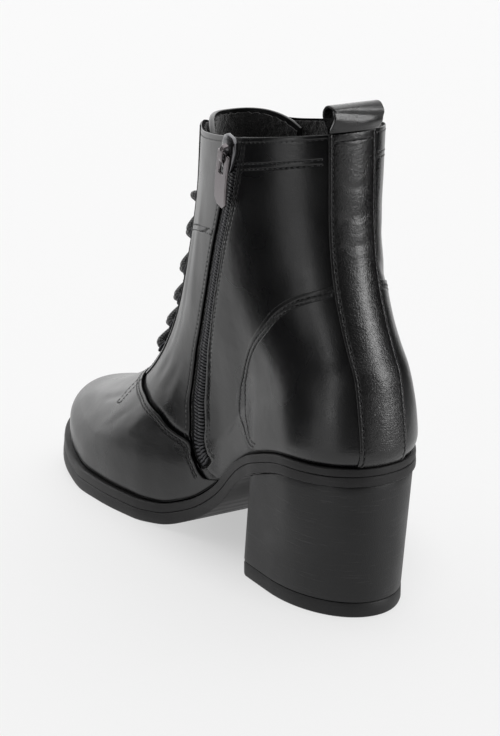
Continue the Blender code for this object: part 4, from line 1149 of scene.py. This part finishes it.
# %% Tongue
TONGUE_BASE, TONGUE_TOP, TONGUE_SIDE, TONGUE_WIDTH = 0.37, 1.027, 0.985, 0.080
rise = np.linspace(0, 1, 90)[:, None]
cross = np.linspace(-1, 1, 48)
top = TONGUE_TOP - (TONGUE_TOP - TONGUE_SIDE) * np.abs(cross) ** 3
level = TONGUE_BASE + rise * (top - TONGUE_BASE)
half = TONGUE_WIDTH / 2 * (0.5 + 0.5 * np.minimum(rise * 1.6, 1))
u = around_from(0.5, level, cross * half)
front = upper_surface(u, level, np.full(level.shape, -(WALL + 0.0009)))
points, faces = sheet(front, 0.0022, normals(u, level), 0.0010)
no_seam = {"seam": np.full(len(points), 1000 * SEAM_REACH)}
tongue = make_mesh("tongue_leather_face", points, faces, calf, attributes=no_seam)
tufts = 0.0012 * np.sin(47 * cross) + 0.0009 * np.sin(83 * cross + 1)
level = TONGUE_BASE + rise * (top - 0.005 + tufts - TONGUE_BASE)
u = around_from(0.5, level, cross * (half - 0.001))
back = upper_surface(u, level, np.full(level.shape, -(WALL + 0.0029)))
points, faces = sheet(back, 0.0012, normals(u, level), 0.0005)
tongue_lining = make_mesh("tongue_lining", points, faces, fleece)
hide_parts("tongue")
print("tongue:", len(tongue.data.polygons), "faces")

# %% [markdown]
# ## Sole
# Outsole and midsole are plates with rounded edges. Each is a stack of rings of the sole,
# and each ring has a height and an inset, so the profile of the side is a short list.

# %% Sole
AROUND = 240


def stack(name, rings, finish):
    """Closed solid of rings of equal and even count."""
    points = np.concatenate(rings)
    faces = tube(np.arange(len(points)).reshape(len(rings), -1))
    faces = outward(faces, points, points.mean(axis=0))
    return make_mesh(name, points, faces, finish, sharp=35)


def plate(name, low, high, profile, finish):
    """Layer of the sole between two heights; profile is (share of the height, inset)."""
    u = np.arange(AROUND) / AROUND
    heights = [(low + share * (high - low), inset) for share, inset in profile]
    rings = [sole_ring(u, height, inset, inset) + SHIFT for height, inset in heights]
    return stack(name, rings, finish)


# share of a layer's height and inset from its edge, from the bottom up
LOWER = [(0, 0.0009), (0.04, 0.0003), (0.12, 0.0), (0.5, -0.0001), (0.93, 0.0), (1, 0.0003)]
UPPER = [(0, 0.0003), (0.07, 0.0), (0.5, -0.0001), (0.88, 0.0), (0.96, 0.0003), (1, 0.0009)]
outsole = plate("outsole_rubber", 0, OUTSOLE_THICK, LOWER, sole_rubber)
midsole = plate("midsole_rubber", OUTSOLE_THICK + 0.0002, SOLE_THICK, UPPER, sole_rubber)
for piece, part in ((outsole, "outsole"), (midsole, "midsole")):
    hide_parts(part)
u = np.arange(AROUND) / AROUND
inset = WALL + 0.0008
profile = ((0, inset), (0.0024, inset), (0.003, inset + 0.001))
rings = [sole_ring(u, SEAT + h, HEEL_LEDGE + i, TOE_LEDGE + i) + SHIFT for h, i in profile]
insole = stack("insole_cover", rings, footbed)
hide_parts("insole")
print("sole rings:", AROUND, "points each")

# %% [markdown]
# ## Heel
# The block heel is moulded in one piece and screwed on from inside. It is lofted from the
# sole's outline down to the top lift's, with a flat front. The half ring runs from just
# beside the back point to the front corner, so that both halves have equal counts and no
# point is there twice.

# %% Heel
HEEL_FRONT, HEEL_INSET = 0.273, 0.001
LIFT_BACK, LIFT_FRONT, LIFT_WIDTH, LIFT_ROUND, LIFT_THICK = 0.0025, 0.0655, 0.054, 0.042, 0.0065
CORNER = 0.003
turn = np.arccos(1 - 2 * HEEL_FRONT) / (2 * math.pi)
HALF_COUNT = 60
half_ring = turn * (np.arange(HALF_COUNT) + 0.5) / (HALF_COUNT - 0.5)
u = np.concatenate([half_ring, 1 - half_ring[::-1]])
side, t = around(u)
under_sole = sole_ring(u, -0.0002, HEEL_INSET, HEEL_INSET)
along = t / HEEL_FRONT
middle = np.array([(LIFT_BACK + LIFT_FRONT) / 2, 0.0])
length = LIFT_FRONT - LIFT_BACK
half = LIFT_WIDTH / 2 * rounding(along * length, LIFT_ROUND)
foot = np.stack([LIFT_BACK + along * length, side * half], axis=1)


def corner_round(ring, reach):
    """Ring with its two front corners drawn in: the half width loses up to 3.5 hundredths,
    by the cube of how near the front a point lies, as a share of reach."""
    x = ring[:, 0]
    front = x.max()
    near = np.clip(1 - (front - x) / reach, 0, 1)
    ring = ring.copy()
    ring[:, 1] *= 1 - 0.035 * near**3
    return ring


def level_ring(height, inset):
    """The heel's outline at its foot, at a height and inset from its edge."""
    flat = middle + (foot - middle) * (1 - 2 * inset / np.array([length, LIFT_WIDTH]))
    return np.column_stack([flat, np.full(len(flat), height)])


lift = [(0.0, 0.0009), (0.0003, 0.0003), (0.001, 0.0)]
lift += [(LIFT_THICK - 0.0006, 0.0), (LIFT_THICK - 0.0001, 0.0003), (LIFT_THICK, 0.0006)]
rings = [corner_round(level_ring(*row), CORNER) + SHIFT for row in lift]
top_lift = stack("top_lift_rubber", rings, lift_rubber)
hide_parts("top_lift")
low = level_ring(LIFT_THICK + 0.0002, 0)
shares = np.concatenate([[0], [0.004], np.linspace(0.02, 0.98, 20), [0.996, 1]])
insets = np.concatenate([[0.0004], [0.0001], np.zeros(20), [0.0003, 0.0009]])
rings = []
for share, inset in zip(shares, insets):
    ring = low + (under_sole - low) * share
    centre = ring.mean(axis=0)
    ring = ring + (centre - ring) * np.array([1, 1, 0]) * inset / 0.027
    rings.append(corner_round(ring, CORNER) + SHIFT)
heel = stack("heel_block_plastic", rings, heel_plastic)
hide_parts("heel_block")
print("heel height in mm:", round(1000 * float(under_sole[:, 2].max()), 1))

# %% [markdown]
# ## Repeated shapes
# Stitches and teeth are one small shape set down hundreds of times. repeat does that with
# arrays: the shape's points times each place's three directions, plus the place itself.

# %% Repeating a shape


def repeat(points, faces, origins, frames):
    """Copies of a shape: each point times a place's frame of three rows, plus its origin."""
    placed = origins[:, None] + np.einsum("pk,nkc->npc", points, frames)
    numbers = faces[None] + len(points) * np.arange(len(origins))[:, None, None]
    return placed.reshape(-1, 3), numbers.reshape(-1, faces.shape[1])


def pill(length, width, height, sides, rings, dip):
    """Rounded bar along x: ring radius follows a half ellipse of high order, and the ends
    dip below the middle by the square of the distance from it."""
    at = np.linspace(-1, 1, rings)
    size = np.maximum(np.sqrt(np.maximum(1 - at**4, 0.0)), 0.18)
    turn = 2 * math.pi * np.arange(sides) / sides
    y = width / 2 * size[:, None] * np.cos(turn)
    z = height / 2 * size[:, None] * np.sin(turn) - dip * at[:, None] ** 2
    x = length / 2 * at[:, None] + 0 * turn
    points = np.stack([x, y, z], axis=-1).reshape(-1, 3)
    faces = tube(np.arange(len(points)).reshape(rings, sides))
    return points, outward(faces, points, points.mean(axis=0))


def surface_frames(u, level, height, along):
    """Places and frames on the leather: the first direction runs along the given points'
    line, the third outwards, the second across both."""
    origin = upper_surface(u, level, height + relief(u, level))
    out = normals(u, level)
    first = along - out * np.einsum("ij,ij->i", along, out)[:, None]
    first /= np.linalg.norm(first, axis=1, keepdims=True)
    second = np.cross(out, first)
    return origin, np.stack([first, second, out], axis=1)


# %% [markdown]
# ## Zip
# The tape is a strip behind the slot, and the teeth are two rows of nylon that lock in the
# middle, 1.6 mm apart in each row.

# %% Zip tape
TAPE_WIDTH, TAPE_THICK = 0.0158, 0.0008
level = np.linspace(ZIP_BASE - 0.02, 0.998, 110)[:, None]
u = around_from(zip_line(level), level, TAPE_WIDTH * np.linspace(-0.5, 0.5, 12))
level = level + 0 * u
behind = upper_surface(u, level, np.full(u.shape, -(WALL + 0.0003)))
points, faces = sheet(behind, TAPE_THICK, normals(u, level), 0.0002)
tape = make_mesh("zip_tape_cloth", points, faces, tape_cloth)
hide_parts("zip_tape")
print("tape:", len(faces), "faces")

# %% Zip teeth
level = np.linspace(ZIP_BASE + 0.008, 0.952, 400)
points_line = upper_surface(zip_line(level), level)
run = np.concatenate([[0], np.cumsum(np.linalg.norm(np.diff(points_line, axis=0), axis=1))])
TOOTH_PITCH = 0.0016  # from one tooth to the next of the same row
at = np.arange(0, run[-1], TOOTH_PITCH / 2)
level = np.interp(at, run, level)
side = np.where(np.arange(len(at)) % 2 == 0, 1.0, -1.0)
u = around_from(zip_line(level), level, side * 0.00115)
origin = upper_surface(u, level, np.full(len(u), -0.0012))
above, below = level + 0.004, level - 0.004
up = upper_surface(zip_line(above), above) - upper_surface(zip_line(below), below)
up /= np.linalg.norm(up, axis=1, keepdims=True)
out = normals(u, level)
across = np.cross(out, up)
tilt = 0.14 * side[:, None]
first = across * np.cos(tilt) + up * np.sin(tilt)
frames = np.stack([first, np.cross(out, first), out], axis=1)
shape, shape_faces = pill(length=0.0044, width=0.00105, height=0.0013, sides=8, rings=7, dip=0.0005)
points, faces = repeat(shape, shape_faces, origin, frames)
teeth = make_mesh("zip_teeth_nylon", points, faces, nylon)
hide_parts("zip_coil")
print("teeth:", len(at))

# %% [markdown]
# The slider, its bridge and the pull are cast in zinc. All are made about the pull's hinge,
# with x across the zip, y down along it and z outwards. Real castings have no knife edges,
# so a bevel rounds theirs, and it catches the light as a thin bright line.

# %% The hinge's place
SLIDER_LEVEL, SLIDER_WIDTH, SLIDER_LENGTH, SLIDER_THICK = 0.968, 0.0102, 0.013, 0.0024
BRIDGE_WIDTH, BRIDGE_CLEAR, BRIDGE_THICK = 0.0024, 0.002, 0.0008
PULL_LENGTH, PULL_WIDTH, PULL_THICK, PULL_WINDOW = 0.024, 0.009, 0.0012, 0.0085
spot = np.array([SLIDER_LEVEL, SLIDER_LEVEL - 0.01])
base = upper_surface(zip_line(spot), spot)
DOWN = (base[1] - base[0]) / np.linalg.norm(base[1] - base[0])
OUT = normals(zip_line(spot), spot)[0]
ACROSS = np.cross(DOWN, OUT)
ACROSS /= np.linalg.norm(ACROSS)
OUT = np.cross(ACROSS, DOWN)
HINGE = base[0] + OUT * (SLIDER_THICK + BRIDGE_CLEAR / 2)
HINGE_FRAME = np.stack([ACROSS, DOWN, OUT])
print("hinge at mm:", (1000 * HINGE).round(2))

# %% Cast parts


def cast(name, points, faces, finish, body, bevel):
    """Cast part about the hinge: its points placed there, its faces turned outwards, and its
    edges bevelled in two steps."""
    obj = make_mesh(name, points @ HINGE_FRAME + HINGE, faces, finish, body)
    bm = bmesh.new()
    bm.from_mesh(obj.data)
    bmesh.ops.recalc_face_normals(bm, faces=bm.faces)
    bm.to_mesh(obj.data)
    bm.free()
    step = obj.modifiers.new("bevel", "BEVEL")
    step.width, step.segments = bevel, 2
    step.limit_method, step.angle_limit = "ANGLE", math.radians(35)
    obj.data.set_sharp_from_angle(angle=math.radians(50))
    return obj


def loft(name, rings, finish, bevel):
    """Fixed cast part of rings of equal and even count."""
    points = np.concatenate(rings)
    faces = tube(np.arange(len(points)).reshape(len(rings), -1))
    return cast(name, points, faces, finish, BOOT, bevel)


# %% Slider
top = -BRIDGE_CLEAR / 2
foot_z = top - SLIDER_THICK
half, back, front = SLIDER_WIDTH / 2, -0.45 * SLIDER_LENGTH, 0.55 * SLIDER_LENGTH
# outline of one side, as shares of the half width and places along the zip
one_side = np.array(
    [
        (0.45, 1.32 * back),
        (0.86, 1.056 * back),
        (1.0, 0.462 * back),
        (0.9, 0.0015),
        (0.72, 0.75 * front),
        (0.6, front),
    ]
)
shape = np.concatenate([one_side, one_side[::-1] * (-1, 1)])
profile = (
    (foot_z, 0.93),
    (foot_z + 0.0004, 1.0),
    (top - 0.0005, 1.0),
    (top - 0.0001, 0.9),
    (top + 0.0002, 0.72),
)
rings = []
for height, grow in profile:
    x, y = (shape * (half, 1) * grow).T
    rings.append(np.column_stack([x, y, np.full(len(shape), height)]))
slider = loft("slider_body", rings, gunmetal, 0.0002)
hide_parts("zip_slider")
print("slider:", len(rings), "rings")

# %% Bridge
# an arch over the slider that holds the pull: flat in the middle, steep at both feet
at = np.linspace(-1, 1, 15)
y_line = 0.0002 + 0.0041 * at
z_line = BRIDGE_CLEAR / 2 + BRIDGE_THICK * 0.5 - (BRIDGE_CLEAR + 0.0012) * np.abs(at) ** 5
rings = []
for y0, z0, a in zip(y_line, z_line, at):
    wide = BRIDGE_WIDTH / 2 * (1.0 + 0.25 * abs(a) ** 3)
    thick = BRIDGE_THICK / 2 * (1.0 + 0.5 * abs(a) ** 3)
    tilt = -math.copysign(min(abs(a) ** 4 * 1.2, 1.1), a)
    corner = np.array([(-wide, -thick), (wide, -thick), (wide, thick), (-wide, thick)])
    y, z = y0 - corner[:, 1] * math.sin(tilt), z0 + corner[:, 1] * math.cos(tilt)
    rings.append(np.column_stack([corner[:, 0], y, z]))
bridge = loft("slider_bridge", rings, nickel, 0.00025)
print("bridge:", len(rings), "rings")

# %% [markdown]
# The pull is a flat plate with a window round the bridge, bent a little towards the leather.
# It is a grid in two layers. Walls stand wherever a filled cell meets an empty one.

# %% Pull
half, bar, arm = PULL_WIDTH / 2, PULL_THICK / 2, PULL_WIDTH / 2 - BRIDGE_WIDTH / 2 - GAP
end = PULL_LENGTH - bar
window, plain = np.linspace(bar, PULL_WINDOW, 5)[1:], np.linspace(PULL_WINDOW, end - 0.002, 9)[1:]
rows = np.concatenate([[-bar, bar], window, plain, [end]])
cols = np.array([-half, -half + arm, 0.0, half - arm, half])
x = cols[None] * np.where(rows > end - 0.001, 1 - 0.0022 / half, 1.0)[:, None]
y = rows[:, None] + 0 * x
y[-2] -= 0.0004 * (np.abs(cols) > half - arm / 2)
lean = np.maximum(y - 0.25 * end, 0)
bent = -0.065 * lean**2 / (0.75 * end)
layers = np.stack([np.stack([x, y, bent + z], axis=-1) for z in (-bar, bar)])
index = np.arange(layers.shape[0] * x.size).reshape(2, *x.shape)
solid = np.ones((len(rows) - 1, len(cols) - 1), bool)
solid[1:5, 1:3] = False  # the window
faces = [quads(layer)[solid.ravel()] for layer in index]
padded = np.pad(solid, 1)
i, j = np.nonzero(padded[:-1, 1:-1] != padded[1:, 1:-1])
walls_across = (index[:, i, j], index[:, i, j + 1])
i, j = np.nonzero(padded[1:-1, :-1] != padded[1:-1, 1:])
walls_along = (index[:, i, j], index[:, i + 1, j])
for a, b in (walls_across, walls_along):
    faces.append(np.stack([a[0], b[0], b[1], a[1]], axis=1))
pull = cast("pull_tab", layers.reshape(-1, 3), np.concatenate(faces), nickel, PULL, 0.00035)
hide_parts("zip_pull")
print("pull length in mm:", 1000 * PULL_LENGTH)

# %% [markdown]
# ## Eyelets and lace
# Each eyelet is a rolled ring of blackened brass, pressed through the leather. The formula
# is a circle carried round a circle, a little flattened.

# %% Eyelets
LACE_ROWS = np.array([0.487, 0.563, 0.640, 0.716, 0.793, 0.869])
EYELET_OUT, EYELET_RADIUS, EYELET_HOLE, EYELET_THICK = 0.0125, 0.0030, 0.0018, 0.0008
LACE_RADIUS = 0.0016
side = np.repeat([-1.0, 1.0], 6)
row_level = np.tile(LACE_ROWS, 2)
eye_u = around_from(0.5, row_level, side * EYELET_OUT)
eye_base = upper_surface(eye_u, row_level)
eye_out = normals(eye_u, row_level)
eye_up = upper_surface(eye_u, row_level + 0.01) - eye_base
eye_across = np.cross(eye_out, eye_up)
eye_across /= np.linalg.norm(eye_across, axis=1, keepdims=True)
eye_up = np.cross(eye_across, eye_out)
turn = 2 * math.pi * np.arange(40) / 40
around_roll = 2 * math.pi * np.arange(12) / 12
middle_r, roll_r = (EYELET_RADIUS + EYELET_HOLE) / 2, (EYELET_RADIUS - EYELET_HOLE) / 2
r = middle_r + roll_r * np.cos(around_roll)
z = 0.0013 + EYELET_THICK / 2 + 0.75 * EYELET_THICK * np.sin(around_roll)
shape = np.stack([r[:, None] * np.cos(turn), r[:, None] * np.sin(turn), z[:, None] + 0 * turn], axis=-1)
index = np.arange(12 * 40).reshape(12, 40)
shape_faces = quads(index, wrap_rows=True, wrap_cols=True)[:, ::-1]
frames = np.stack([eye_across, eye_up, eye_out], axis=1)
for n in range(12):
    points, faces = repeat(shape.reshape(-1, 3), shape_faces, eye_base[n : n + 1], frames[n : n + 1])
    word = "inner" if n < 6 else "outer"
    eyelet = make_mesh(f"eyelet_ring_{word}_{n % 6 + 1}", points, faces, eyelet_metal)
    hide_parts(f"eyelet_{word}_{n % 6 + 1}")
print("eyelets:", len(eye_u))

# %% [markdown]
# The lace is a round braided cord. It comes up through an eyelet, crosses to the other
# side's next one and goes down again. A smooth line through a few heights over the leather
# makes each run, and rings along the line make the cord. Its finish reads two values kept
# at each point, how far along and how far round the cord it lies, and draws the braid.

# %% Lace


def curve_through(points, count):
    """Smooth line through points: a cubic on each stretch, whose slope at each point is half
    the step between its neighbours."""
    points = np.concatenate([[2 * points[0] - points[1]], points, [2 * points[-1] - points[-2]]])
    at = np.linspace(0, len(points) - 3, count)
    i = np.clip(at.astype(int), 0, len(points) - 4)
    f = (at - i)[:, None]
    a, b, c, d = (points[i + k] for k in range(4))
    return 0.5 * (2 * b + (c - a) * f + (2 * a - 5 * b + 4 * c - d) * f**2 + (3 * b - a - 3 * c + d) * f**3)


def cord(path, radius, sides, lean):
    """Points and faces of a round cord: rings of a radius square to the path, turned so that
    their first direction leans to a given one, closed at both ends."""
    along = np.gradient(path, axis=0)
    along /= np.linalg.norm(along, axis=1, keepdims=True)
    first = np.cross(along, lean)
    first /= np.linalg.norm(first, axis=1, keepdims=True)
    second = np.cross(along, first)
    turn = 2 * math.pi * np.arange(sides) / sides
    radius = np.broadcast_to(radius, len(path))[:, None, None]
    spokes = np.cos(turn)[:, None] * first[:, None] + np.sin(turn)[:, None] * second[:, None]
    rings = path[:, None] + radius * spokes
    return rings.reshape(-1, 3), tube(np.arange(len(path) * sides).reshape(-1, sides))


def cord_finish(name, dark, light, ribs):
    """Round braided polyester cord: strands cross in a diamond pattern. braid_along counts turns of the
    braid along the cord and braid_round its strands round it; the product of two waves over them lifts each
    strand. The same product paints each strand's top paler and the gaps between strands darker, as painted
    highlight and painted shade, and makes the tops glossier."""
    made, tree, shader = finish(name, Sheen_Weight=0.4, Sheen_Roughness=0.5, IOR=1.5)
    along = node(tree, "ShaderNodeAttribute", attribute_name="braid_along").outputs["Fac"]
    rounds = node(tree, "ShaderNodeAttribute", attribute_name="braid_round").outputs["Fac"]
    waves = []
    for operation in ("ADD", "SUBTRACT"):
        both = node(tree, MATH, (along, rounds), operation=operation).outputs[0]
        waves.append(node(tree, MATH, (both,), operation="SINE").outputs[0])
    lift = node(tree, MATH, waves, operation="MULTIPLY").outputs[0]
    height = node(tree, RANGE, (lift, -1.0, 1.0, -ribs, ribs)).outputs[0]
    # painted shade and highlight: strand tops paler, gaps between strands darker
    shade = node(tree, RANGE, (lift, -1.0, 1.0, 0.0, 1.0), **EASED).outputs[0]
    colour = node(tree, MIX, {"Factor": shade, "A": linear(dark), "B": linear(light)}, data_type="RGBA")
    gloss = node(tree, RANGE, (lift, -1.0, 1.0, 0.75, 0.5), **EASED).outputs[0]
    surface(tree, shader, colour.outputs["Result"], gloss, (height,))
    return made


braid = cord_finish("braided_polyester_cord", "#0a0a0b", "#202022", 0.12)
SIDES, STRANDS, BRAID_PITCH = 16, 4, 0.0026
# share of the way across and height over the leather in millimetres
CROSSING = np.array(
    [
        (0.00, -1.5),
        (0.00, 0.2),
        (0.00, 2.2),
        (0.05, 4.1),
        (0.14, 4.5),
        (0.30, 3.9),
        (0.50, 3.3),
        (0.70, 3.9),
        (0.86, 4.5),
        (0.95, 4.1),
        (1.00, 2.2),
        (1.00, 0.2),
        (1.00, -1.5),
    ]
)
# first row, last row, side it ends on, and how far it passes over the other
runs = [(0, 0, 1, 0.6)] + [(r, r + 1, s, 0.0 if s < 0 else 1.0) for r in range(5) for s in (-1, 1)]
parts, along_values = [], []
for start, end_row, s, lift in runs:
    first_eyelet = start if s > 0 else start + 6
    shares = CROSSING[:, 0]
    high = CROSSING[:, 1] / 1000 + lift * np.exp(-(((shares - 0.5) / 0.2) ** 2)) * 0.0034
    levels = LACE_ROWS[start] + shares * (LACE_ROWS[end_row] - LACE_ROWS[start])
    turns = around_from(0.5, levels, s * EYELET_OUT * (2 * shares - 1))
    path = curve_through(upper_surface(turns, levels, high), 70)
    lean = np.broadcast_to(eye_up[first_eyelet], path.shape)
    parts.append(cord(path, LACE_RADIUS, SIDES, lean))
    length = np.concatenate([[0], np.cumsum(np.linalg.norm(np.diff(path, axis=0), axis=1))])
    along_values.append(np.repeat(2 * math.pi * length / BRAID_PITCH, SIDES))
points, faces = joined(parts)
around_ring = np.abs(np.arange(SIDES) - SIDES / 2) * 2 * math.pi * STRANDS / SIDES
marks = {
    "braid_along": np.concatenate(along_values),
    "braid_round": np.tile(around_ring, len(points) // SIDES),
}
lace = make_mesh("lace_cord", points, faces, braid, attributes=marks)
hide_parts("lace")
print("lace runs:", len(runs))

# %% [markdown]
# ## Stitches
# Each stitch is a short arc of thread whose ends dive into the leather. They stand on the
# rows that the seams remembered.

# %% Stitches
shape, shape_faces = pill(length=0.0021, width=0.0005, height=0.0005, sides=6, rings=6, dip=0.0004)
places, frames = [], []
for u, level, height in SEAMS:
    mid_u, mid_level = (u[1:] + u[:-1]) / 2, (level[1:] + level[:-1]) / 2
    along = np.diff(upper_surface(u, level), axis=0)
    origin, turned = surface_frames(mid_u, mid_level, height - 0.00005, along)
    places.append(origin)
    frames.append(turned)
places, frames = np.concatenate(places), np.concatenate(frames)
points, faces = repeat(shape, shape_faces, places, frames)
stitches = make_mesh("seam_stitches", points, faces, thread_wax)
print("stitches:", len(places), "faces:", len(faces))

# %% [markdown]
# ## Size
# The size of the box round the dressed boot, printed in millimetres.

# %% Sizes and the end
low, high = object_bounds()
print("visual box in mm:", [round(1000 * v, 1) for v in (high - low)])
